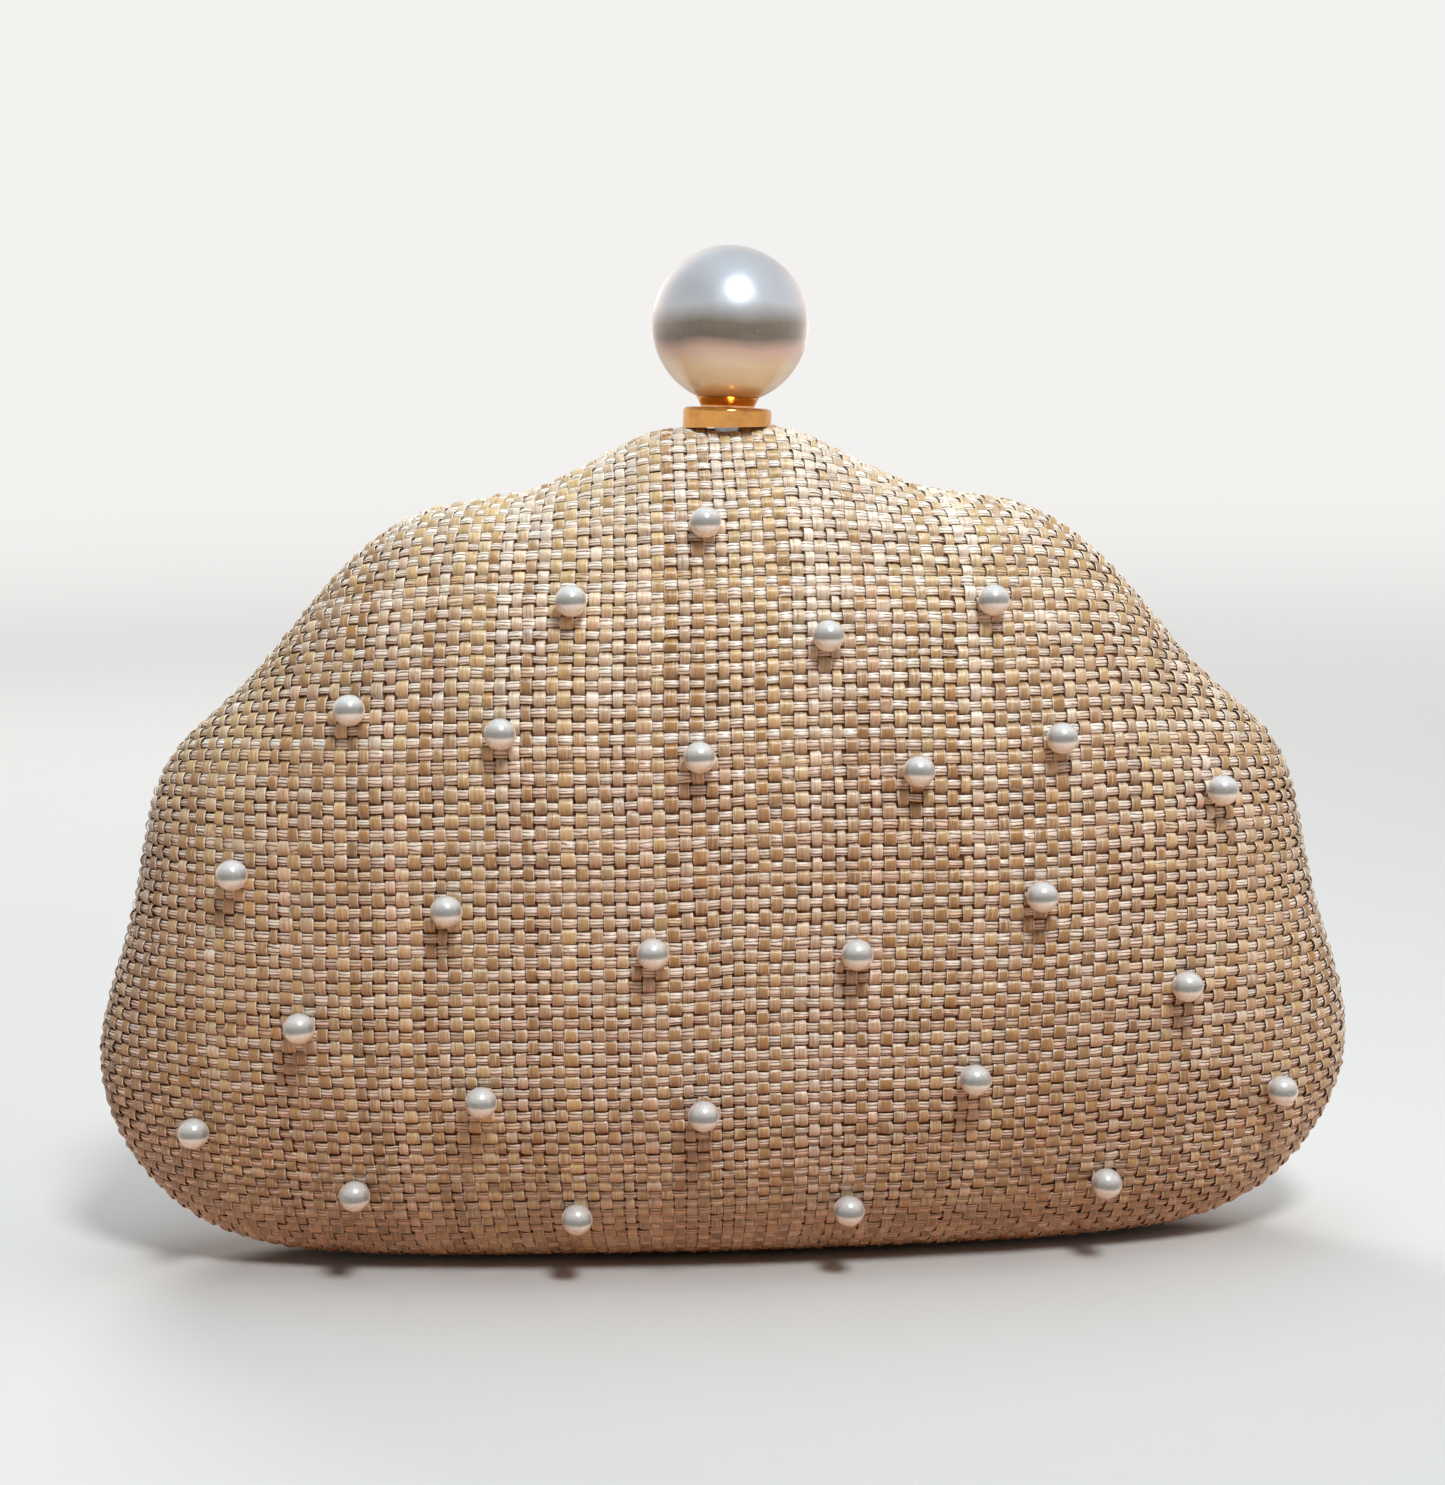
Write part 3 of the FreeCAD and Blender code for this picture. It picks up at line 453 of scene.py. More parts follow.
def metal_finish(name, shade, roughness, brushed=0.0):
    """Metal with fine scratches, rubbed patches and, where brushed, a grain along X."""
    finish = Finish(name)
    place = finish.place()
    patches = finish.noise(place, 0.35, 3.0, 0.55)
    x, y, z = finish.split(place)
    grain = finish.noise(finish.join(x * 0.6, y * 9.0, z * 9.0), 1.0, 3.0, 0.6)
    pits = finish.noise(place, 7.0, 2.0, 0.5)
    dull = tuple(part * 0.80 for part in shade)
    toned = finish.mix(finish.ramp(patches, 0.35, 0.7), tuple(shade), dull)
    rough = finish.ramp(patches, 0.3, 0.75, roughness * 0.75, roughness * 1.35)
    rough = rough + (grain - 0.5) * (0.10 + 0.25 * brushed)
    height = grain * (0.25 + brushed) + pits * 0.4
    return finish.surface(Base_Color=toned, Metallic=1.0, Roughness=rough.clamp(),
                          Normal=finish.bump(height, 0.16, 0.00004))


def board_finish(settings):
    """Moulded shell: matt, with the fine orange peel of its mould."""
    finish = Finish("moulded_board")
    place = finish.place()
    peel = finish.noise(place, 1.4, 3.0, 0.6)
    drift = finish.noise(place, 0.06, 2.0, 0.5)
    dark = tuple(part * 0.8 for part in settings.board)
    shade = finish.mix(drift, tuple(settings.board), dark)
    return finish.surface(Base_Color=shade, Roughness=finish.ramp(peel, 0.3, 0.7, 0.5, 0.68),
                          Normal=finish.bump(peel, 0.3, 0.0001))


def satin_finish(name, settings):
    """Satin: fine twill lines and thread streaks, with painted sheen as soft clouds of lighter and darker satin."""
    finish = Finish(name)
    place = finish.place()
    x, y, z = finish.split(place)
    twill = (x * 24.0 + z * 10.0).sine()
    painted_sheen_clouds = finish.noise(place, 0.05, 3.0, 0.55)
    threads = finish.noise(finish.join(x * 1.2, y * 1.2, z * 14.0), 1.0, 2.0, 0.5)
    # Painted sheen: a darker and a lighter copy of the satin, mixed in soft clouds.
    deep = tuple(part * 0.72 for part in settings.satin)
    pale = tuple(min(1.0, part * 1.18) for part in settings.satin)
    shade = finish.mix(finish.ramp(painted_sheen_clouds, 0.3, 0.7), deep, pale)
    shade = finish.mix(finish.ramp(threads, 0.35, 0.65) * 0.4, shade, tuple(settings.satin))
    height = twill * 0.3 + threads
    return finish.surface(Base_Color=shade, Roughness=finish.ramp(threads, 0.3, 0.7, 0.30, 0.42),
                          Normal=finish.bump(height, 0.10, 0.00006),
                          Sheen_Weight=0.25, Sheen_Roughness=0.3, Specular_IOR_Level=0.6)


# ---- meshes --------------------------------------------------------------------------------
def new_piece(name, points, faces, material, body, slot):
    """Mesh object from arrays of points and four-cornered faces, riding on a body."""
    mesh = bpy.data.meshes.new(name)
    faces = np.asarray(faces, np.int32)
    mesh.vertices.add(len(points))
    mesh.vertices.foreach_set("co", np.asarray(points, np.float32).ravel())
    mesh.loops.add(faces.size)
    mesh.loops.foreach_set("vertex_index", faces.ravel())
    mesh.polygons.add(len(faces))
    mesh.polygons.foreach_set("loop_start", np.arange(len(faces), dtype=np.int32) * 4)
    mesh.polygons.foreach_set("use_smooth", np.ones(len(faces), bool))
    mesh.update(calc_edges=True)
    mesh.validate()
    mesh.materials.append(material)
    piece = bpy.data.objects.new(name, mesh)
    bpy.context.collection.objects.link(piece)
    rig.ride(piece, body)
    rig.slot(piece, slot)
    return piece


def sheet_piece(name, upper, lower, wrap, material, body, slot):
    """Mesh object of a closed sheet from the grids of its two sides."""
    points = np.concatenate([upper.reshape(-1, 3), lower.reshape(-1, 3)])
    return new_piece(name, points, slab_faces(*upper.shape[:2], wrap), material, body, slot)


def store(piece, name, values, kind="FLOAT"):
    """Puts values on the piece's points as a named attribute."""
    layer = piece.data.attributes.new(name, kind, "POINT")
    key = {"FLOAT": "value", "FLOAT_VECTOR": "vector", "FLOAT_COLOR": "color"}[kind]
    layer.data.foreach_set(key, np.asarray(values, np.float32).ravel())


def grid_faces(rows, columns, wrap=False, start=0, flip=False):
    """Faces of a grid of points, row by row, closed along its columns where wrapped."""
    last = columns if wrap else columns - 1
    row = np.arange(rows - 1)[:, None]
    column = np.arange(last)[None, :]
    after = (column + 1) % columns
    corners = [row * columns + column, row * columns + after,
               (row + 1) * columns + after, (row + 1) * columns + column]
    faces = np.stack([np.broadcast_to(c, (rows - 1, last)) for c in corners], -1)
    faces = faces.reshape(-1, 4) + start
    return faces[:, ::-1] if flip else faces


def slab_faces(rows, columns, wrap):
    """Faces of a closed sheet: an upper and a lower grid of points, joined along their edges."""
    count = rows * columns
    upper = grid_faces(rows, columns, wrap)
    lower = grid_faces(rows, columns, wrap, count, True)
    edges = []
    last = columns if wrap else columns - 1
    for row, turned in ((0, True), (rows - 1, False)):
        a = row * columns + np.arange(last)
        b = row * columns + (np.arange(last) + 1) % columns
        rim = np.stack([a, a + count, b + count, b], -1)
        edges.append(rim[:, ::-1] if turned else rim)
    if not wrap:
        for column, turned in ((0, False), (columns - 1, True)):
            a = np.arange(rows - 1) * columns + column
            b = a + columns
            rim = np.stack([a, a + count, b + count, b], -1)
            edges.append(rim[:, ::-1] if turned else rim)
    return np.concatenate([upper, lower] + edges)


# ---- the halves' surfaces ------------------------------------------------------------------
class Dome:
    """One half's sheet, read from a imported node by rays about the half's middle.

    A place on it is (a, b), the distances along the sheet across and up from its pole.
    """

    TURNS = 720            # profiles round the pole
    STATIONS = 120         # rays along each profile
    STEP = 0.0004          # between the points kept along a profile
    POLE_SHARE = 0.415     # pole's height as a share of the crown's
    TILT_BACK = 0.0005     # turned back at a time where a ray misses the sheet
    POLE_TILT = 0.001      # of the ray that stands in where all the others miss
    RIM_STEP, RIM_LEAST, RIM_HALVINGS = 0.008, 0.5, 8   # search for the edge, by tilt
    RAY_START, RAY_LENGTH = 1.5, 0.9                    # in reaches of the sheet
    TUCKS = (0.25, 0.5, 0.75, 1.0)                      # stations of the turned-in edge

    def __init__(self, shape_node, rim_node, side, inside=False, tuck=0.0):
        self.side = side
        self.middle = Vector((0.0, SEAM_Y, self.POLE_SHARE * CROWN_Z))
        self.inside = inside
        low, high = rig.box(shape_node)
        self.spread = max(high.x, -low.x)
        self.up = high.z - self.middle.z
        self.down = self.middle.z - low.z
        self.deep = max(abs(high.y - SEAM_Y), abs(low.y - SEAM_Y))
        shape_side = 1 if high.y + low.y > 2 * SEAM_Y else -1
        shape = self.tree(shape_node)
        rim = self.tree(rim_node)
        turns = np.arange(self.TURNS) * 2 * math.pi / self.TURNS
        points = np.zeros((self.TURNS, self.STATIONS + 1, 3))
        for i, turn in enumerate(turns):
            last = self.find_rim(rim, turn)
            for k in range(self.STATIONS + 1):
                found = None
                tilt = last * k / self.STATIONS
                while found is None and tilt > 0:
                    found = self.cast(shape, turn, tilt, shape_side)
                    tilt -= self.TILT_BACK
                if found is None:
                    found = self.cast(shape, turn, self.POLE_TILT, shape_side)
                points[i, k] = found
        points[:, 0] = points[:, 1].mean(0)
        points[:, :, 1] = SEAM_Y + (points[:, :, 1] - SEAM_Y) * shape_side * side
        if tuck > 0:
            inward = -np.stack([np.cos(turns), 0 * turns, np.sin(turns)], -1)
            extra = [points[:, -1] + inward * tuck * part for part in self.TUCKS]
            points = np.concatenate([points, np.stack(extra, 1)], 1)
        self.resample(points)

    @staticmethod
    def tree(node):
        """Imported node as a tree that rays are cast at."""
        mesh = frame["nodes"][node].data
        return BVHTree.FromPolygons([v.co for v in mesh.vertices],
                                    [p.vertices for p in mesh.polygons])

    def cast(self, tree, turn, tilt, side):
        """Where a ray of this turn and tilt meets the sheet: tilt 0 is the pole."""
        rise = self.up if math.sin(turn) >= 0 else self.down
        radius = 1 / math.hypot(math.cos(turn) / self.spread, math.sin(turn) / rise)
        out = radius * math.sin(tilt) ** (2 / 3)
        ray = Vector((out * math.cos(turn), side * self.deep * math.cos(tilt),
                      out * math.sin(turn)))
        reach = ray.length
        ray.normalize()
        if self.inside:
            return tree.ray_cast(self.middle, ray, reach * self.RAY_START)[0]
        start = self.middle + ray * reach * self.RAY_START
        return tree.ray_cast(start, -ray, reach * self.RAY_LENGTH)[0]

    def find_rim(self, tree, turn):
        """Tilt of the sheet's edge, searched from the seam towards the pole."""
        high = tilt = math.pi / 2
        while tilt > self.RIM_LEAST and self.cast(tree, turn, tilt, self.side) is None:
            high = tilt
            tilt -= self.RIM_STEP
        low = tilt
        for _ in range(self.RIM_HALVINGS):
            tilt = (low + high) / 2
            if self.cast(tree, turn, tilt, self.side) is None:
                high = tilt
            else:
                low = tilt
        return low

    def resample(self, points):
        """Even steps along each profile, with smoothed outward directions."""
        soft = points.copy()
        for _ in range(3):
            around = (np.roll(soft, 1, 0) + 2 * soft + np.roll(soft, -1, 0)) / 4
            soft[:, 1:] = around[:, 1:]
        for _ in range(2):
            soft[:, 1:-1] = (soft[:, :-2] + 2 * soft[:, 1:-1] + soft[:, 2:]) / 4
        along = np.gradient(soft, axis=1)
        around = np.roll(soft, -1, 0) - np.roll(soft, 1, 0)
        outward = np.cross(around, along)
        outward[:, 0] = outward[:, 1].mean(0)
        outward /= np.linalg.norm(outward, axis=-1, keepdims=True) + 1e-12
        halfway = self.STATIONS // 2
        if (outward[:, halfway] * (soft[:, halfway] - np.array(self.middle))).sum() < 0:
            outward = -outward
        steps = np.linalg.norm(np.diff(points, axis=1), axis=-1)
        run = np.concatenate([np.zeros((self.TURNS, 1)), np.cumsum(steps, 1)], 1)
        self.ends = self.whole = run[:, -1]
        self.edge = points[:, -1]
        count = int(self.ends.max() / self.STEP) + 3
        at = np.arange(count) * self.STEP
        self.points = np.zeros((self.TURNS, count, 3))
        self.outward = np.zeros((self.TURNS, count, 3))
        for i in range(self.TURNS):
            for part in range(3):
                self.points[i, :, part] = np.interp(at, run[i], points[i, :, part])
                self.outward[i, :, part] = np.interp(at, run[i], outward[i, :, part])

    def blend(self, table, turn, run):
        """Values of a table between its turns and its steps."""
        i = np.floor(turn).astype(int)
        f = (turn - i)[..., None]
        i, j = i % self.TURNS, (i + 1) % self.TURNS
        k = np.clip(np.floor(run).astype(int), 0, table.shape[1] - 2)
        g = np.clip(run - k, 0, 1)[..., None]
        near = table[i, k] * (1 - g) + table[i, k + 1] * g
        far = table[j, k] * (1 - g) + table[j, k + 1] * g
        return near * (1 - f) + far * f

    def bearing(self, a, b):
        """Turn about the pole, counted in profiles."""
        return (np.arctan2(b, a) % (2 * math.pi)) * self.TURNS / (2 * math.pi)

    def fan(self, spacing, shares):
        """Fabric places every so many degrees, at shares of the way from pole to edge."""
        turns = np.arange(0, 360, spacing) * math.pi / 180
        end = np.interp(turns, np.arange(self.TURNS) * 2 * math.pi / self.TURNS, self.ends)
        run = end[None, :] * shares[:, None]
        return turns, run * np.cos(turns), run * np.sin(turns)

    def at(self, a, b, lift=np.zeros(())):
        """Points at fabric places, raised outward by lift."""
        turn, run = self.bearing(a, b), np.hypot(a, b) / self.STEP
        outward = self.blend(self.outward, turn, run)
        outward /= np.linalg.norm(outward, axis=-1, keepdims=True) + 1e-12
        return self.blend(self.points, turn, run) + outward * np.asarray(lift)[..., None]

    def open_for_stem(self, room, depth):
        """Draws the sheet's edge in at its crown, where the clasp's stem passes."""
        low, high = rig.box("clasp_lever")
        aside = np.abs(self.edge[:, 0] - (low.x + high.x) / 2) - (high.x - low.x) / 2
        self.ends = self.ends - np.where((aside < room) & (self.edge[:, 2] > low.z), depth, 0.0)

    def cut(self):
        """The flat cut that covers the sheet: its width and length, and its area."""
        quarter = self.TURNS // 4
        width = self.whole[0] + self.whole[2 * quarter]
        height = self.whole[quarter] + self.whole[3 * quarter]
        area = (self.ends ** 2).sum() * math.pi / self.TURNS
        return {"flat": (width, height), "area": min(area, width * height)}

    def room(self, a, b):
        """Distance left to the sheet's edge, negative past it."""
        turn = self.bearing(a, b)
        i = np.floor(turn).astype(int)
        f = turn - i
        end = self.ends[i % self.TURNS] * (1 - f) + self.ends[(i + 1) % self.TURNS] * f
        return end - np.hypot(a, b)


# ---- weaving -------------------------------------------------------------------------------
class Wander:
    """Smooth random curves, one for each strip, that sum a few waves."""

    def __init__(self, rng, count, lengths, amount):
        self.lengths = np.asarray(lengths)
        self.phases = rng.uniform(0, 2 * math.pi, (count, len(lengths)))
        self.heights = rng.normal(0, amount / math.sqrt(len(lengths)), (count, len(lengths)))

    def __call__(self, line, place):
        waves = place[..., None] * 2 * math.pi / self.lengths + self.phases[line]
        return (np.sin(waves) * self.heights[line]).sum(-1)


# Along a strip, from a crossing over and from one under: places, heights and widths.
OVER = ((0.0, 0.30, 0.46, 0.62), (1.0, 0.68, 0.15, -0.85), (1, 1, 0.96, 0.9))
UNDER = ((0.38, 0.54, 0.70), (-0.85, 0.15, 0.68), (0.9, 0.96, 1))
# Across a strip: where its points lie, how far each sinks with its crown, and its creases.
WARP_ACROSS = np.array([[-1.0, -0.84, -0.30, 0.24, 0.84, 1.0],
                        [1.0, 0.12, 0.40, 0.0, 0.12, 1.0],
                        [0.0, 0.0, 0.55, 0.0, 0.0, 0.0]])
WEFT_ACROSS = np.array([[-1.0, -0.76, -0.42, -0.14, 0.14, 0.40, 0.76, 1.0],
                        [1.0, 0.30, 0.85, 0.0, 0.04, 0.80, 0.30, 1.0],
                        [0.3, 0.0, 1.0, 0.0, 0.0, 1.0, 0.0, 0.3]])
CREASED = 0.4                        # a point across counts as a crease above this
SLIDE = 0.2                          # farthest that a crease moves, in half widths
SWELL, LEAN = 0.12, 0.18             # change of height and of tilt from crossing to crossing
SPACING_SHARE, WIDTH_SHARE, BREADTH_SHARE = 0.55, 0.9, 0.8   # of the unevenness
# Wave lengths and amounts of what wanders along the strips.
SWAY = (0.009, 0.021, 0.047, 0.09), 0.00012     # each strip by itself, to the side
DRIFT = (0.06, 0.13, 0.21), 0.00035             # all strips of a family together
UPRIGHT_DRIFT = 0.8                             # share of it that the upright strips take
CREASE_DRIFT = (0.004, 0.011, 0.025), 0.15      # creases, in half widths
BREADTH_WAVES = (0.012, 0.03, 0.07)
CREASE_LEAST = 0.45                             # of a crease's full depth
PILE_REACH, PILE_DEPTH = 0.003, 0.006   # past the collar, and below the crown


def strip_stations(count, odd):
    """Places, heights and widths along a strip that first goes over, or under where odd."""
    places, heights, pinches = [], [], []
    for cell in range(count - 1):
        steps, levels, widths = OVER if (cell + odd) % 2 == 0 else UNDER
        places += [cell + step for step in steps]
        heights += levels
        pinches += widths
    return np.array(places), np.array(heights), np.array(pinches, float)


def weave(dome, settings, label, body, slot, finishes):
    """Warp and weft strips of one cover, each strip a closed flat tube that goes over and under."""
    rng = np.random.default_rng(settings.seed + (0 if dome.side == FRONT else 100))
    pitch, uneven = settings.pitch, settings.uneven
    count = 2 * int(dome.ends.max() / pitch) + 7
    lines = []
    for _ in range(2):
        gaps = pitch * (1 + uneven * SPACING_SHARE * rng.normal(0, 1, count))
        places = np.cumsum(gaps)
        lines.append(places - places[count // 2])
    columns, rows = lines
    sway = [Wander(rng, count, *SWAY) for _ in range(2)]
    shared = [Wander(rng, 1, *DRIFT) for _ in range(2)]
    index = np.arange(count)
    grid_a = columns[:, None] + sway[0](index[:, None], rows[None, :] + 0 * columns[:, None]) \
        + shared[0](0, rows)[None, :] * UPRIGHT_DRIFT
    grid_b = rows[None, :] + sway[1](index[None, :], columns[:, None] + 0 * rows[None, :]) \
        + shared[1](0, columns)[:, None]
    twist = rng.normal(0, 1, (count, count))
    swell = rng.normal(0, 1, (count, count))
    families = (("warp", grid_a, grid_b, WARP_ACROSS), ("weft", grid_a.T, grid_b.T, WEFT_ACROSS))
    made = []
    for level_strip, (name, mid_a, mid_b, section) in enumerate(families):
        width, rise, crown, depth = (getattr(settings, f"{name}_{part}")
                                     for part in ("width", "rise", "crown", "depth"))
        hues = Dyes(rng, settings, name, count)
        breadth = Wander(rng, count, BREADTH_WAVES, uneven * BREADTH_SHARE)
        base = 1 + uneven * WIDTH_SHARE * rng.normal(0, 1, count)
        shift = [Wander(rng, count, *CREASE_DRIFT) for _ in range(2)]
        depth_of_crease = rng.uniform(CREASE_LEAST, 1.0, (count, 2))
        across, sink, crease = section
        creased = crease > CREASED
        tube = Tube()
        for line in range(count):
            places, height, pinch = strip_stations(count, (line + level_strip) % 2)
            a, b = (np.interp(places, index, mid[line]) for mid in (mid_a, mid_b))
            heave = np.interp(places, index, swell[line]) * SWELL
            lean = np.interp(places, index, twist[line]) * LEAN
            for run in runs_inside(dome.room(a, b) > 0):
                line_a, line_b = trimmed(dome, a[run], b[run])
                h = height[run]
                along = line_a if level_strip else line_b
                wide = width * pinch[run] * base[line] * (1 + breadth(line, along)) / 2
                u = np.repeat(across[None, :], len(h), 0)
                for half, slip in zip((across < 0, across > 0), shift):
                    slide = np.clip(slip(line, along), -SLIDE, SLIDE)
                    u = u + (creased & half) * slide[:, None]
                aside = u * wide[:, None]
                side_a = line_a[:, None] + (1 - level_strip) * aside
                side_b = line_b[:, None] + level_strip * aside
                fold = np.where(across < 0, *depth_of_crease[line])
                fall = np.where(creased, across ** 2 + (sink - across ** 2) * fold, sink)
                level = (h * rise * (1 + heave[run] * np.sign(h)))[:, None] - crown * fall \
                    + (lean[run] * rise)[:, None] * u - depth \
                    + settings.pile * crowding(dome.at(side_a, side_b))
                hue = hues(line, line_a, line_b, np.round(places[run]).astype(int))
                tube.add(dome.at(side_a, side_b, level), line, along * 1000, u, h,
                         crease * np.where(creased, 0.55 + 0.45 * fold, 1.0), hue)
        made.append(tube.piece(f"{label}_{name}", finishes[level_strip], body, slot))
    return made


def crowding(points):
    """Share of the pile at these points: full under the clasp's collar, none well past it."""
    low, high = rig.box("clasp_collar")
    past = np.hypot(points[..., 0] - (low.x + high.x) / 2, points[..., 1] - (low.y + high.y) / 2)
    near = np.clip(1 - (past - (high.x - low.x) / 2) / PILE_REACH, 0, 1)
    return near * near * (3 - 2 * near) * (points[..., 2] > CROWN_Z - PILE_DEPTH)


class Tube:
    """Gathers closed strips into one mesh, with what colours them."""

    # Bake map: a strip takes one row. Its top starts at TOP_FROM and is TOP_WIDE wide, its
    # underside lies from UNDER_FROM to UNDER_TO, and its ends on a line at END_AT.
    TOP_FROM, TOP_WIDE, UNDER_FROM, UNDER_TO, END_AT = 0.06, 0.62, 0.76, 0.94, 0.97

    def __init__(self):
        self.start = 0
        self.points, self.faces, self.places = [], [], []
        self.strand, self.lift, self.crease, self.dye = [], [], [], []

    def add(self, ring, line, along, across, lift, crease, hue):
        """Adds a strip from its rings of points, with its colours' values on them."""
        rows, sides = ring.shape[:2]
        shape = (rows, sides)
        self.points.append(ring.reshape(-1, 3))
        caps = [(0, k, k + 1, k + 2) for k in range(1, sides - 2, 2)]
        caps = np.array(caps) + self.start
        tail = caps[:, ::-1] + (rows - 1) * sides
        self.faces += [grid_faces(rows, sides, True, self.start), caps, tail]
        reach = np.broadcast_to(along[:, None], shape)
        self.strand.append(np.stack([reach, np.broadcast_to(across, shape),
                                     np.full(shape, float(line))], -1).reshape(-1, 3))
        self.lift.append(np.repeat(lift, sides))
        self.crease.append(np.broadcast_to(crease, shape).ravel())
        self.dye.append(np.repeat(hue, sides, 0))
        self.lay_flat(line, along, sides, rows, caps, tail)
        self.start += rows * sides

    def lay_flat(self, line, along, sides, rows, caps, tail):
        """Places of a strip's faces on the bake map."""
        top = self.TOP_FROM + self.TOP_WIDE * np.arange(sides) / (sides - 1)
        low = np.append(top[:-1], self.UNDER_FROM)
        high = np.append(top[1:], self.UNDER_TO)
        u = along[:, None] / 1000
        cell = (rows - 1, sides)
        u0, u1 = np.broadcast_to(u[:-1], cell), np.broadcast_to(u[1:], cell)
        v0, v1 = np.broadcast_to(low, cell), np.broadcast_to(high, cell)
        corners = np.stack([np.stack([u0, v0 + line], -1), np.stack([u0, v1 + line], -1),
                            np.stack([u1, v1 + line], -1), np.stack([u1, v0 + line], -1)], 2)
        self.places.append(corners.reshape(-1, 2))
        for end, at in ((caps, u[0, 0]), (tail, u[-1, 0])):
            self.places.append(np.tile([[at, line + self.END_AT]], (end.size, 1)))

    def piece(self, name, material, body, slot):
        """All the strips as one mesh object."""
        piece = new_piece(name, np.concatenate(self.points), np.concatenate(self.faces), material,
                          body, slot)
        store(piece, "strand", np.concatenate(self.strand), "FLOAT_VECTOR")
        store(piece, "lift", np.concatenate(self.lift))
        store(piece, "crease", np.concatenate(self.crease))
        hue = np.concatenate(self.dye)
        store(piece, "dye", np.concatenate([hue, np.ones((len(hue), 1))], 1), "FLOAT_COLOR")
        places = np.concatenate(self.places)
        places -= places.min(0)
        places /= places.max(0) * 1.002
        layer = piece.data.uv_layers.new(name="OFBake")
        layer.data.foreach_set("uv", places.astype(np.float32).ravel())
        return piece


HAIR_EVERY = 5                       # of the fibres, one in so many stands off the weave
FIBRE_ROOM = 0.004                   # least distance from the sheet's edge
HAIR_ROOM, HAIR_HEIGHT = 0.03, 0.04  # hairs keep near the edge or high on the sheet
FIBRE_RINGS = 6
FIBRE_ACROSS = np.array([-1.0, -0.4, 0.4, 1.0])   # its points across, in half widths
FIBRE_TURN, FIBRE_BEND = 0.16, 0.35   # spread of a fibre's turn off level, and of its curve
FIBRE_TAPER = 0.75                    # share of its girth that is lost towards the tip
FIBRE_VALUE = (0.85, 1.05)            # range of its brightness
# Range of length, start below the surface, range of rise from there, and girth.
HAIR_REACH, HAIR_FOOT, HAIR_RISE, HAIR_GIRTH = (0.0012, 0.0030), 0.0002, (0.0004, 0.0011), 0.00003
FIBRE_REACH, FIBRE_FOOT, FIBRE_RISE = (0.0016, 0.0034), 0.00022, (0.00012, 0.00032)
FIBRE_GIRTH = (0.00004, 0.00008)


def loose_fibres(dome, settings, label, body, slot, material):
    """Torn fibres: short ones that lie on the weave, and finer hairs that stand off it."""
    rng = np.random.default_rng(settings.seed + (50 if dome.side == FRONT else 150))
    hues = np.array([settings.white, settings.ivory, settings.blush])
    tube = Tube()
    far = dome.ends.max()
    line = 0
    while line < settings.fibres:
        hair = line % HAIR_EVERY == 0
        a, b = rng.uniform(-far, far, 2)
        room = dome.room(a, b)
        if room < FIBRE_ROOM or (hair and room > HAIR_ROOM and b < HAIR_HEIGHT):
            continue
        turn = rng.uniform(0, 2 * math.pi) if hair else rng.normal(0, FIBRE_TURN)
        reach = rng.uniform(*(HAIR_REACH if hair else FIBRE_REACH))
        t = np.linspace(0, 1, FIBRE_RINGS)
        bend = rng.normal(0, FIBRE_BEND)
        line_a = a + reach * t * np.cos(turn + bend * t)
        line_b = b + reach * t * np.sin(turn + bend * t)
        if hair:
            lift = -HAIR_FOOT + rng.uniform(*HAIR_RISE) * t ** 1.4
        else:
            lift = -FIBRE_FOOT + rng.uniform(*FIBRE_RISE) * np.sin(math.pi * t)
        girth = (HAIR_GIRTH if hair else rng.uniform(*FIBRE_GIRTH)) * (1 - FIBRE_TAPER * t)
        side = np.array([-math.sin(turn), math.cos(turn)])
        u = FIBRE_ACROSS[None, :] * girth[:, None]
        raised = lift[:, None] + girth[:, None] * np.array([0, 1, 1, 0])
        ring = dome.at(line_a[:, None] + u * side[0], line_b[:, None] + u * side[1], raised)
        hue = np.tile(hues[rng.integers(0, 3)] * rng.uniform(*FIBRE_VALUE), (FIBRE_RINGS, 1))
        tube.add(ring, line, t * reach * 1000, FIBRE_ACROSS, np.ones(FIBRE_RINGS),
                 np.zeros(len(FIBRE_ACROSS)), hue)
        line += 1
    return tube.piece(f"{label}_fibres", material, body, slot)


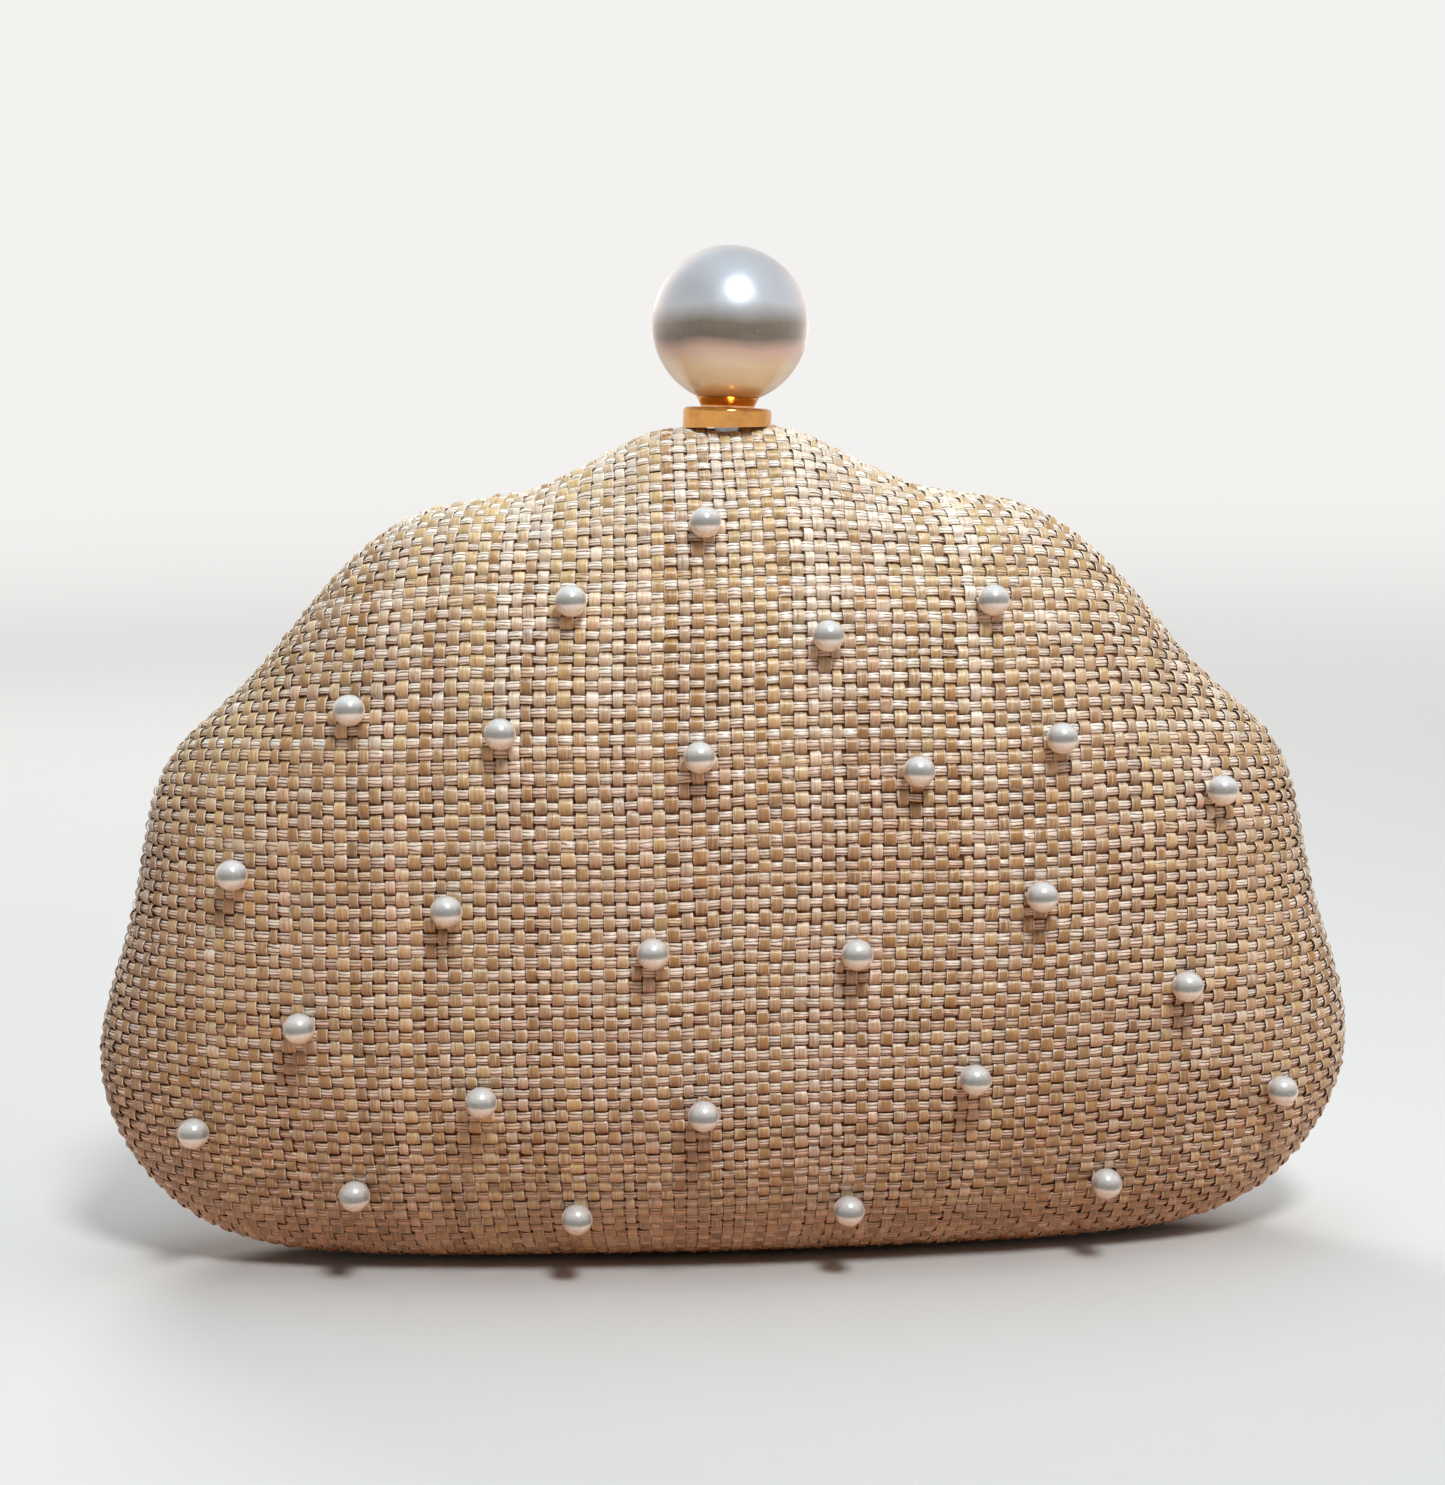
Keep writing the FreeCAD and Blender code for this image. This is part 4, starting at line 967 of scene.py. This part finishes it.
class Dyes:
    """Colour of each strip along its length, drifting between four straw tones, with painted light that makes the
    crown paler and brighter.
    """

    # Pulls towards ivory, tan, blush and white, and brightness.
    BIAS = {"warp": (0.14, 0.62, -0.02, -0.48), "weft": (-0.06, -0.52, 0.30, 0.66)}
    # At the crown the tones are pulled towards ivory and white, away from tan and blush: painted light where the top
    # faces the lamps.
    CROWN_PAINTED_LIGHT_PULL = (0.24, -0.56, -0.70, 0.74)
    VALUE = {"warp": 0.95, "weft": 1.09}
    CROWN_FROM, CROWN_OVER = 0.01, 0.07   # height on the sheet where the crown's pull sets in
    SHARPNESS = 3.4                       # of the choice between the tones
    PULL_SPREAD, VALUE_SPREAD = 0.36, 0.06   # from strip to strip
    SLOW = (0.009, 0.022, 0.055), 0.30    # wave lengths and amount of the change along a strip
    PATCH = (0.05, 0.09, 0.14), 0.16      # and of the patches that cross all strips
    PATCH_SLANT = 0.7
    SPOT_PULL, SPOT_VALUE = 0.16, 0.07    # from crossing to crossing
    # Painted light: how much brighter the crown is made.
    CROWN_PAINTED_LIGHT_VALUE = 0.06

    def __init__(self, rng, settings, family, count):
        self.tones = np.array([settings.ivory, settings.tan, settings.blush, settings.white])
        self.pull = rng.normal(0, self.PULL_SPREAD, (count, 4)) + self.BIAS[family]
        self.slow = [Wander(rng, count, *self.SLOW) for _ in range(4)]
        self.patch = [Wander(rng, 1, *self.PATCH) for _ in range(4)]
        self.value = rng.normal(0, self.VALUE_SPREAD, count)
        self.spots = rng.normal(0, 1, (count, count + 1))
        self.base = self.VALUE[family]
        self.warp = family == "warp"

    def __call__(self, line, a, b, crossing):
        along = b if self.warp else a
        pull = self.pull[line] + np.stack([slow(line, along) for slow in self.slow], -1)
        slanted = a + self.PATCH_SLANT * b
        pull = pull + np.stack([patch(0, slanted) for patch in self.patch], -1)
        spot = self.spots[line, crossing]
        # Painted light: the crown is made paler here and brighter below.
        crown = np.clip((b - self.CROWN_FROM) / self.CROWN_OVER, 0, 1)
        pull += crown[:, None] * self.CROWN_PAINTED_LIGHT_PULL
        pull[:, 3] += self.SPOT_PULL * spot
        share = np.exp(self.SHARPNESS * pull)
        share /= share.sum(-1, keepdims=True)
        value = self.base + self.value[line] + self.CROWN_PAINTED_LIGHT_VALUE * crown
        value = value - self.SPOT_VALUE * self.spots[line, crossing - 1]
        return np.clip(share @ self.tones * value[:, None], 0, 1)


def runs_inside(inside):
    """Slices of the stretches that lie on the sheet, each with room for an end."""
    least = 4
    edges = np.flatnonzero(np.diff(np.concatenate([[0], inside.astype(int), [0]])))
    for first, last in zip(edges[::2], edges[1::2]):
        if last - first >= least:
            yield slice(max(first - 1, 0), min(last + 1, len(inside)))


def trimmed(dome, a, b):
    """A stretch whose two ends are drawn in to the sheet's edge."""
    a, b = a.copy(), b.copy()
    room = dome.room(a, b)
    for end in (0, -1):
        if room[end] < 0:
            run = math.hypot(a[end], b[end])
            a[end] *= (run + room[end]) / run
            b[end] *= (run + room[end]) / run
    return a, b


def backing(dome, label, body, material):
    """Thin cloth behind the strips."""
    depth, thickness = 0.00090, 0.00010
    _, a, b = dome.fan(1.0, np.linspace(0.012, 0.996, 130))
    upper = dome.at(a, b, np.full(a.shape, -depth))
    lower = dome.at(a, b, np.full(a.shape, -(depth + thickness)))
    return sheet_piece(f"{label}_backing", upper, lower, True, material, body, "woven_straw")


TUCK = 0.0011       # how far a cover turns in at its edge
STEM_ROOM = 0.65    # beside the clasp's stem, in widths of an upright strip


class BAG_OT_straw(bpy.types.Operator):
    """Weave the straw covers of both halves"""
    bl_idname = "bag.straw"
    bl_label = "Straw covers"

    def execute(self, context):
        settings = context.scene.bag_straw
        finishes = [straw_finish("straw_upright", settings, 0.0),
                    straw_finish("straw_level", settings, 0.25)]
        cloth = backing_finish(settings)
        for side, node, body, label in ((FRONT, "front_cover", "front_half", "front_straw"),
                                        (REAR, "rear_cover", "rear_half", "rear_straw")):
            dome = Dome("rear_cover", node, side, tuck=TUCK)
            dome.open_for_stem(settings.warp_width * STEM_ROOM, settings.passage)
            straw = weave(dome, settings, label, body, "woven_straw", finishes)
            straw.append(loose_fibres(dome, settings, label, body, "woven_straw", finishes[1]))
            cloth_piece = backing(dome, label, body, cloth)
            for piece in straw + [cloth_piece]:
                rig.replaces(piece, node)
            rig.sheet(cloth_piece, held="stretched", rests_on=[node.replace("cover", "shell")],
                     with_pieces=straw, **dome.cut())
        return {"FINISHED"}


# ---- pearls --------------------------------------------------------------------------------
MOUTH_IN, MOUTH_OUT = 0.6, 1.25     # chamfer of a bore, in angles of the bore
MOUTH_DEPTH, MOUTH_WIDTH = 0.93, 0.55   # its inner end: shares of the ball and of the bore
OUT_OF_ROUND = 0.0022


def bead(centre, radius, axis, rings, sectors, bore, rng):
    """Points and faces of a pearl: a ball a little out of round with a chamfered bore."""
    mouth = math.asin(bore / radius)
    tilts = np.concatenate([[math.pi - mouth * MOUTH_IN],
                            np.linspace(math.pi - mouth * MOUTH_OUT, 0.012, rings)])
    turns = np.arange(sectors) * 2 * math.pi / sectors
    axis = Vector(axis).normalized()
    turning = np.array(axis.to_track_quat("Z", "X").to_matrix())
    wobble = rng.normal(0, OUT_OF_ROUND, 6)
    t, p = np.meshgrid(tilts, turns, indexing="ij")
    direction = np.stack([np.sin(t) * np.cos(p), np.sin(t) * np.sin(p), np.cos(t)], -1)
    x, y, z = direction[..., 0], direction[..., 1], direction[..., 2]
    swell = 1 + wobble[0] * x * y + wobble[1] * y * z + wobble[2] * x * z \
        + wobble[3] * (x * x - y * y) + wobble[4] * z * z * z + wobble[5] * x * z * z
    ball = direction * (radius * swell)[..., None]
    ball[0] = direction[1] * radius * MOUTH_DEPTH
    ball[0, :, :2] *= MOUTH_WIDTH
    turned = ball.reshape(-1, 3) @ turning.T
    return turned + np.array(centre), grid_faces(len(tilts), sectors, True), turned[:, 2] / radius


def pearl_piece(name, points, faces, ups, finish, body, node):
    """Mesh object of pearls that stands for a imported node."""
    piece = new_piece(name, points, faces, finish, body, "pearl")
    store(piece, "up", ups)
    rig.replaces(piece, node)


def ball_fit(points):
    """Centre and radius of the ball that points lie on."""
    system = np.concatenate([2 * points, np.ones((len(points), 1))], 1)
    answer = np.linalg.lstsq(system, (points ** 2).sum(1), rcond=None)[0]
    return answer[:3], math.sqrt(answer[3] + (answer[:3] ** 2).sum())


def node_points(node):
    """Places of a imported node's mesh points."""
    mesh = frame["nodes"][node].data
    points = np.zeros(len(mesh.vertices) * 3, np.float32)
    mesh.vertices.foreach_get("co", points)
    return points.reshape(-1, 3).astype(float)


class BAG_OT_small_pearls(bpy.types.Operator):
    """Put nacre beads on the front"""
    bl_idname = "bag.small_pearls"
    bl_label = "Small pearls"
    ACROSS = 0.0066   # a little more than a pearl, and far less than from one to the next
    RINGS, SECTORS, BORE = 30, 40, 0.00045

    def execute(self, context):
        settings = context.scene.bag_pearl
        rng = np.random.default_rng(21)
        left = node_points("front_pearls")
        tree = Dome.tree("front_shell")
        points, faces, ups, start = [], [], [], 0
        while len(left):
            near = np.linalg.norm(left - left[0], axis=1) < self.ACROSS
            centre, radius = ball_fit(left[near])
            left = left[~near]
            foot = tree.find_nearest(Vector(centre))[0]
            ball, skin, up = bead(centre, radius, Vector(centre) - foot, self.RINGS,
                                  self.SECTORS, self.BORE, rng)
            points.append(ball)
            faces.append(skin + start)
            ups.append(up)
            start += len(ball)
        # Painted reflections by height: bright below, a dark band round the middle and pale on top.
        stops = [(0.06, settings.rose), (0.38, settings.rose), (0.47, settings.ash),
                 (0.58, settings.ash), (0.80, settings.snow)]
        nacre = nacre_finish("nacre_small", settings, stops, 2.0, 0.2, settings.roughness)
        pearl_piece("front_pearl_beads", np.concatenate(points), np.concatenate(faces),
                    np.concatenate(ups), nacre, "front_half", "front_pearls")
        return {"FINISHED"}


class BAG_OT_knob_pearl(bpy.types.Operator):
    """Put the large pearl on the clasp"""
    bl_idname = "bag.knob_pearl"
    bl_label = "Knob pearl"
    RINGS, SECTORS, BORE = 140, 180, 0.0011

    def execute(self, context):
        settings = context.scene.bag_pearl
        low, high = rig.box("clasp_pearl")
        radius = (high.x - low.x) / 2
        centre = Vector(((high.x + low.x) / 2, (high.y + low.y) / 2, high.z - radius))
        foot_low, foot_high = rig.box("clasp_collar")
        foot = (foot_low + foot_high) / 2
        ball, skin, up = bead(centre, radius, centre - foot, self.RINGS, self.SECTORS,
                              self.BORE, np.random.default_rng(5))
        # Painted reflections by height: the gilt cup at the foot, cream and a pinkish band below, a dark grey band
        # round the middle and a cool bluish top.
        stops = [(0.03, settings.foot), (0.12, settings.cream), (0.24, settings.cream),
                 (0.33, settings.blush), (0.41, settings.grey), (0.50, settings.grey),
                 (0.63, settings.cool)]
        nacre = nacre_finish("nacre_large", settings, stops, 1.0, 0.5,
                             settings.roughness * 1.4)
        pearl_piece("knob_pearl_bead", ball, skin, up, nacre, "clasp", "clasp_pearl")
        return {"FINISHED"}


# ---- metal ---------------------------------------------------------------------------------
GILT_NODES = ("front_frame", "rear_frame", "front_hinge_leaf", "rear_hinge_leaf", "hinge_pin",
              "front_hinge_rivets", "rear_hinge_rivets", "clasp_collar", "pearl_cup")
STEEL_NODES = ("clasp_lever", "clasp_bracket", "clasp_bracket_rivets", "clasp_pivot_pin",
               "clasp_spring", "catch_spring", "catch_rivets", "pearl_stud", "pearl_pins")


def dress(nodes, material):
    """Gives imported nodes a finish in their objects' material slots."""
    for node in nodes:
        piece = frame["nodes"][node]
        if not piece.material_slots:
            piece.data.materials.append(material)
        for slot in piece.material_slots:
            slot.link = "OBJECT"
            slot.material = material


class BAG_OT_metal(bpy.types.Operator):
    """Finish the gilt frames and the steel clasp"""
    bl_idname = "bag.metal"
    bl_label = "Metal"

    def execute(self, context):
        settings = context.scene.bag_metal
        dress(GILT_NODES, metal_finish("gilt", settings.gilt, settings.gilt_roughness))
        dress(STEEL_NODES, metal_finish("brushed_steel", settings.steel,
                                        settings.steel_roughness, 0.6))
        return {"FINISHED"}


# ---- inside --------------------------------------------------------------------------------
class BAG_OT_inside(bpy.types.Operator):
    """Line both halves with satin over their moulded shells"""
    bl_idname = "bag.inside"
    bl_label = "Linings"

    def execute(self, context):
        settings = context.scene.bag_inside
        dress(("front_shell", "rear_shell"), board_finish(settings))
        satin = satin_finish("satin", settings)
        for side, node, body in ((FRONT, "front_lining", "front_half"),
                                 (REAR, "rear_lining", "rear_half")):
            dome = Dome("rear_lining", node, side, inside=True)
            lining(dome, settings, node, body, satin)
        pocket(settings, satin)
        return {"FINISHED"}


LINING_BACK = 0.0004                # satin's back, past the padding's face
SLACK, RUCK = 0.0009, 0.00035       # the pocket stands off and gathers by these at its mouth
PANEL_FRONT, PANEL_BACK = 0.00005, 0.00045   # faces of the pocket's panel
PLEATS = (61, 97, 143)              # waves around the lining's edge, summed
PLEATS_FROM, PLEATS_OVER = 0.66, 0.34   # where they set in, as shares of the way to the edge
FOLDS, FOLD_LEAST, FOLD_MOST = 7, 60, 170   # soft folds in any direction, and their fineness
PLEAT_HEIGHT, FOLD_HEIGHT = 1.2, 1.5    # in puckers
RUCKS = (17, 29, 47)                # waves along the pocket's mouth, summed
RUCKS_FROM, RUCKS_OVER = 0.55, 0.45     # where they set in, as shares of the pocket's height
PIPING_SHARE, POCKET_SHARE = 0.62, 0.55     # of the hem's radius
CORD_SIDES = 10
PIPING_LIFT = 0.0002                # of the piping's middle, over the padding's face


def lining(dome, settings, node, body, satin):
    """Satin sheet with soft folds that gather towards the frame, and a piped edge."""
    rng = np.random.default_rng(31 if dome.side == FRONT else 33)
    shares = np.concatenate([np.linspace(0.0008, 0.80, 60), np.linspace(0.81, 1.0, 40)])
    turns, a, b = dome.fan(0.75, shares)
    gather = np.clip((shares - PLEATS_FROM) / PLEATS_OVER, 0, 1)[:, None] ** 1.5
    pleats = np.zeros_like(a)
    for waves in PLEATS:
        drift = rng.uniform(0, 2 * math.pi)
        bend = 3.0 * np.sin(turns * 5 + rng.uniform(0, 6)) + 2.0 * shares[:, None]
        pleats += np.sin(turns * waves + drift + bend) / len(PLEATS)
    folds = np.zeros_like(a)
    for _ in range(FOLDS):
        turn = rng.uniform(0, math.pi)
        scale = rng.uniform(FOLD_LEAST, FOLD_MOST)
        phase = rng.uniform(0, 2 * math.pi)
        line = (a * math.cos(turn) + b * math.sin(turn)) * scale
        folds += np.sin(line + phase + 0.8 * np.sin(line * 0.37 + phase)) / FOLDS
    fade = np.clip(shares / 0.1, 0, 1)[:, None]
    height = settings.pucker * (PLEAT_HEIGHT * (pleats + 1) / 2 * gather
                                + FOLD_HEIGHT * (folds + 1) / 2 * fade)
    upper = dome.at(a, b, -height)
    lower = dome.at(a, b, np.full(a.shape, LINING_BACK))
    piece = sheet_piece(f"{node}_satin", upper, lower, True, satin, body, "satin_lining")
    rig.replaces(piece, node)
    edge = dome.at(a[-1], b[-1], np.full(len(turns), -PIPING_LIFT))
    cord = piping(edge, settings.hem * PIPING_SHARE, CORD_SIDES, True)
    roll = new_piece(f"{node}_piping", *cord, satin, body, "satin_lining")
    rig.replaces(roll, node)
    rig.sheet(piece, held="stretched", rests_on=[node.replace("lining", "shell")],
             with_pieces=[roll], **dome.cut())


def piping(path, radius, sides, closed):
    """Points and faces of a round cord along a path, with a slight twist of its cover."""
    count = len(path)
    if closed:
        ahead = np.roll(path, -1, 0) - np.roll(path, 1, 0)
    else:
        ahead = np.gradient(path, axis=0)
    ahead /= np.linalg.norm(ahead, axis=1, keepdims=True)
    side = np.cross(ahead, np.array([0.0, 1.0, 0.0]))
    side /= np.linalg.norm(side, axis=1, keepdims=True) + 1e-12
    over = np.cross(side, ahead)
    turns = np.arange(sides) * 2 * math.pi / sides
    girth = radius * (1 + 0.05 * np.sin(np.arange(count) * 1.7)[:, None])
    ring = path[:, None] + side[:, None] * (np.cos(turns) * girth)[..., None] \
        + over[:, None] * (np.sin(turns) * girth)[..., None]
    if closed:
        ring = np.concatenate([ring, ring[:1]])
        faces = grid_faces(count + 1, sides, True)
        faces = np.where(faces >= count * sides, faces - count * sides, faces)
        return ring[:-1].reshape(-1, 3), faces
    return ring.reshape(-1, 3), grid_faces(count, sides, True)


def pocket(settings, satin):
    """Slip pocket on the rear lining: a satin panel, gathered and hemmed at its mouth."""
    tree = Dome.tree("slip_pocket")
    low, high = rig.box("slip_pocket")
    rng = np.random.default_rng(41)
    rows, columns = 60, 110
    us, vs = (np.linspace(0.004, 0.996, count) for count in (columns, rows))
    points = np.zeros((rows, columns, 3))
    for r, v in enumerate(vs):
        z = low.z + (high.z - low.z) * v
        for c, u in enumerate(us):
            x = low.x + (high.x - low.x) * u
            hit = tree.ray_cast(Vector((x, low.y - 0.01, z)), Vector((0, 1, 0)))[0]
            points[r, c] = hit if hit else (x, np.nan, z)
    fill_gaps(points)
    v, u = np.meshgrid(vs, us, indexing="ij")
    inner = np.minimum(np.minimum(u, 1 - u) * 12, v * 12).clip(0, 1)
    gather = np.zeros_like(u)
    for waves in RUCKS:
        gather += np.sin(u * waves * 2 * math.pi + rng.uniform(0, 6) + 0.7 * v) / len(RUCKS)
    near_mouth = np.clip((v - RUCKS_FROM) / RUCKS_OVER, 0, 1) ** 1.4
    slack = inner * (SLACK * v ** 2 + RUCK * gather * near_mouth)
    front, back = points.copy(), points.copy()
    front[..., 1] -= slack + PANEL_FRONT
    back[..., 1] -= slack - PANEL_BACK
    panel = sheet_piece("slip_pocket_satin", front, back, False, satin, "rear_half",
                        "satin_lining")
    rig.replaces(panel, "slip_pocket")
    mouth = (front[-1] + back[-1]) / 2
    cord = piping(mouth, settings.hem * POCKET_SHARE, CORD_SIDES, False)
    hem = new_piece("slip_pocket_hem", *cord, satin, "rear_half", "satin_lining")
    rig.replaces(hem, "slip_pocket")
    middle = np.linalg.norm(np.diff(points[:, columns // 2], axis=0), axis=1).sum()
    level = np.linalg.norm(np.diff(points[rows // 2], axis=0), axis=1).sum()
    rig.sheet(panel, flat=(level, middle), held="stretched", rests_on=["rear_lining_satin"],
             with_pieces=[hem])


def fill_gaps(points):
    """Carries depths on from the nearest found point along each row."""
    for row in points:
        found = ~np.isnan(row[:, 1])
        if found.any():
            row[:, 1] = np.interp(row[:, 0], row[found, 0], row[found, 1])
    column = points[:, :, 1]
    good = np.flatnonzero(~np.isnan(column[:, 0]))
    for r in range(len(points)):
        if np.isnan(column[r, 0]):
            column[r] = column[good[np.abs(good - r).argmin()]]


# ---- stage ---------------------------------------------------------------------------------
BLACK = (0.0, 0.0, 0.0)
FLOOR_Z = -0.0006                      # just under the lowest straw
FLOOR_RINGS = (0.002, 0.2, 0.5, 1.0, 2.0, 4.0, 9.0)
FADE = 1.2                             # out to where a quarter of the floor's colour is left
UNDER_REACH, UNDER_STOPS = 0.2, (0.93, 0.99)   # what counts as lying under the floor
DIM = (0.1, 0.1, 0.1)                  # the seen background fades towards this overhead
SKY_STOPS = [(0.10, (0.028, 0.025, 0.023)), (0.75, (0.072, 0.080, 0.090))]
# Each lamp's name, place, aim, size, power and colour.
LAMPS = (("key", (0.16, -0.58, 0.90), (0.0, 0.0, 0.10), 0.22, 7.2, (0.97, 0.99, 1.0)),
         ("top", (0.05, 0.05, 1.25), (0.05, 0.05, 0.0), 1.20, 9.5, (0.86, 0.95, 1.0)),
         ("side", (0.95, -0.30, 0.95), (0.0, 0.0, 0.08), 0.80, 3.4, (1.0, 0.98, 0.95)),
         ("back", (-0.35, 0.85, 0.75), (0.0, 0.0, 0.08), 0.60, 6.5, (1.0, 0.99, 0.97)))
SEEN = ("Is Camera Ray", "Is Glossy Ray", "Is Transmission Ray")


class BAG_OT_stage(bpy.types.Operator):
    """Set the floor, the lamps and the camera"""
    bl_idname = "bag.stage"
    bl_label = "Stage"

    def execute(self, context):
        settings = context.scene.bag_stage
        self.floor(settings)
        self.lamps()
        self.sky(settings)
        self.camera(context, settings)
        context.scene.view_settings.view_transform = "Standard"
        return {"FINISHED"}

    @staticmethod
    def floor(settings):
        """Round floor whose far part fades into the background."""
        radii = np.array(FLOOR_RINGS)[:, None]
        turns = np.arange(96) * 2 * math.pi / 96
        level = np.full((len(radii), len(turns)), FLOOR_Z)
        points = np.stack([radii * np.cos(turns), radii * np.sin(turns), level], -1)
        mesh = bpy.data.meshes.new("studio_floor")
        mesh.from_pydata(points.reshape(-1, 3).tolist(), [],
                         grid_faces(len(radii), len(turns), True).tolist())
        mesh.flip_normals()
        finish = Finish("studio_paper")
        place = finish.place()
        grain = finish.noise(place, 0.02, 3.0, 0.5)
        pale = tuple(settings.floor)
        shade = finish.mix(grain, pale, tuple(part * 0.985 for part in pale))
        shade = finish.mix(finish.rays("Is Diffuse Ray"), shade, tuple(settings.bounce))
        x, y, _ = finish.split(place)
        near = FADE ** 2 / (FADE ** 2 + (x * x + y * y) * 1e-6)
        far = finish.rays(*SEEN) * (1 - near * near)
        shade = finish.mix(far, shade, BLACK)
        glow = finish.mix(far, BLACK, tuple(settings.paper))
        # The floor gives way where the opened half of the bag swings below it.
        clear = finish.add("ShaderNodeAmbientOcclusion", {"inside": True, "samples": 12},
                           {"Distance": UNDER_REACH}, "AO")
        under = finish.add("ShaderNodeNewGeometry", output="Backfacing")
        mesh.materials.append(finish.surface(Base_Color=shade, Roughness=0.85,
                                             Emission_Color=glow, Emission_Strength=1.0,
                                             Specular_IOR_Level=0.0,
                                             Alpha=finish.ramp(clear, *UNDER_STOPS) - under))
        floor = bpy.data.objects.new("studio_floor", mesh)
        bpy.context.collection.objects.link(floor)
        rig.stage(floor)

    @staticmethod
    def lamps():
        """Soft lamps, of which only the key lamp shows in reflections."""
        for name, place, aim, size, power, shade in LAMPS:
            lamp = bpy.data.lights.new(name, "AREA")
            lamp.shape = "DISK"
            lamp.size = size
            lamp.energy = power
            lamp.color = shade
            holder = bpy.data.objects.new(name, lamp)
            bpy.context.collection.objects.link(holder)
            holder.location = place
            holder.rotation_euler = (Vector(aim) - Vector(place)).to_track_quat(
                "-Z", "Y").to_euler()
            holder.visible_glossy = name == "key"
            holder.visible_camera = False

    @staticmethod
    def sky(settings):
        """World that shows the pale background and lights softly, cooler overhead."""
        world = bpy.data.worlds.new("studio")
        bpy.context.scene.world = world
        finish = Finish("studio", world)
        up = finish.split(finish.add("ShaderNodeTexCoord", output="Generated"))[2]
        light = finish.add("ShaderNodeValToRGB", {"stops": SKY_STOPS}, {"Fac": up})
        paper = finish.mix(finish.ramp(up, 0.15, 0.85, 0.0, 0.6), tuple(settings.paper), DIM)
        shade = finish.mix(finish.rays(*SEEN), light, paper)
        glow = finish.add("ShaderNodeBackground", None, {"Color": shade, "Strength": 1.0})
        finish.add("ShaderNodeOutputWorld", None, {"Surface": glow})

    @staticmethod
    def camera(context, settings):
        """Camera turned about the bag's middle, then about itself."""
        camera = bpy.data.cameras.new("camera")
        camera.lens = settings.lens
        camera.sensor_width = 36.0
        camera.clip_start = 0.01
        camera.clip_end = 20.0
        holder = bpy.data.objects.new("camera", camera)
        context.collection.objects.link(holder)
        turn = settings.azimuth + settings.yaw
        down, roll = settings.pitch, settings.roll
        ahead = Vector((-math.sin(turn) * math.cos(down), math.cos(turn) * math.cos(down),
                        -math.sin(down)))
        right = Vector((math.cos(turn), math.sin(turn), 0.0))
        above = right.cross(ahead)
        right, above = (right * math.cos(roll) + above * math.sin(roll),
                        above * math.cos(roll) - right * math.sin(roll))
        place = Vector((settings.distance * math.sin(settings.azimuth),
                        SEAM_Y - settings.distance * math.cos(settings.azimuth),
                        settings.height))
        holder.matrix_world = Matrix.Translation(place) @ Matrix(
            (right, above, -ahead)).transposed().to_4x4()
        context.scene.camera = holder


class BAG_PT_panel(bpy.types.Panel):
    """Lists the bag's pieces in the sidebar"""
    bl_idname = "BAG_PT_panel"
    bl_label = "Evening bag"
    bl_space_type = "VIEW_3D"
    bl_region_type = "UI"
    bl_category = "Evening bag"

    def draw(self, context):
        for name, operators in PANEL:
            box = self.layout.box()
            settings = getattr(context.scene, name)
            for prop in settings.bl_rna.properties:
                if prop.identifier not in ("rna_type", "name"):
                    box.prop(settings, prop.identifier)
            for operator in operators:
                box.operator(operator)


GROUPS = {"bag_straw": BagStraw, "bag_pearl": BagPearl, "bag_metal": BagMetal,
          "bag_inside": BagInside, "bag_stage": BagStage}
OPERATORS = (BAG_OT_stage, BAG_OT_straw, BAG_OT_small_pearls, BAG_OT_knob_pearl, BAG_OT_metal,
             BAG_OT_inside)
PANEL = (("bag_straw", ("bag.straw",)), ("bag_pearl", ("bag.small_pearls", "bag.knob_pearl")),
         ("bag_metal", ("bag.metal",)), ("bag_inside", ("bag.inside",)),
         ("bag_stage", ("bag.stage",)))


def register():
    for group in GROUPS.values():
        bpy.utils.register_class(group)
    for name, group in GROUPS.items():
        setattr(bpy.types.Scene, name, PointerProperty(type=group))
    for operator in OPERATORS + (BAG_PT_panel,):
        bpy.utils.register_class(operator)


def unregister():
    for operator in reversed(OPERATORS + (BAG_PT_panel,)):
        bpy.utils.unregister_class(operator)
    for name, group in GROUPS.items():
        delattr(bpy.types.Scene, name)
        bpy.utils.unregister_class(group)


def main():
    register()
    for operator in OPERATORS:
        family, name = operator.bl_idname.split(".")
        result = getattr(getattr(bpy.ops, family), name)()
        if "FINISHED" not in result:
            raise RuntimeError(f"{operator.bl_label} did not finish")
    boxes = {"cad": CAD_BOX, "visual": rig.bounds()}
    with open(SIZE_FILE, "w") as file:
        json.dump({name: [list(corner) for corner in box] for name, box in boxes.items()}, file)


if __name__ == "__main__":
    main()
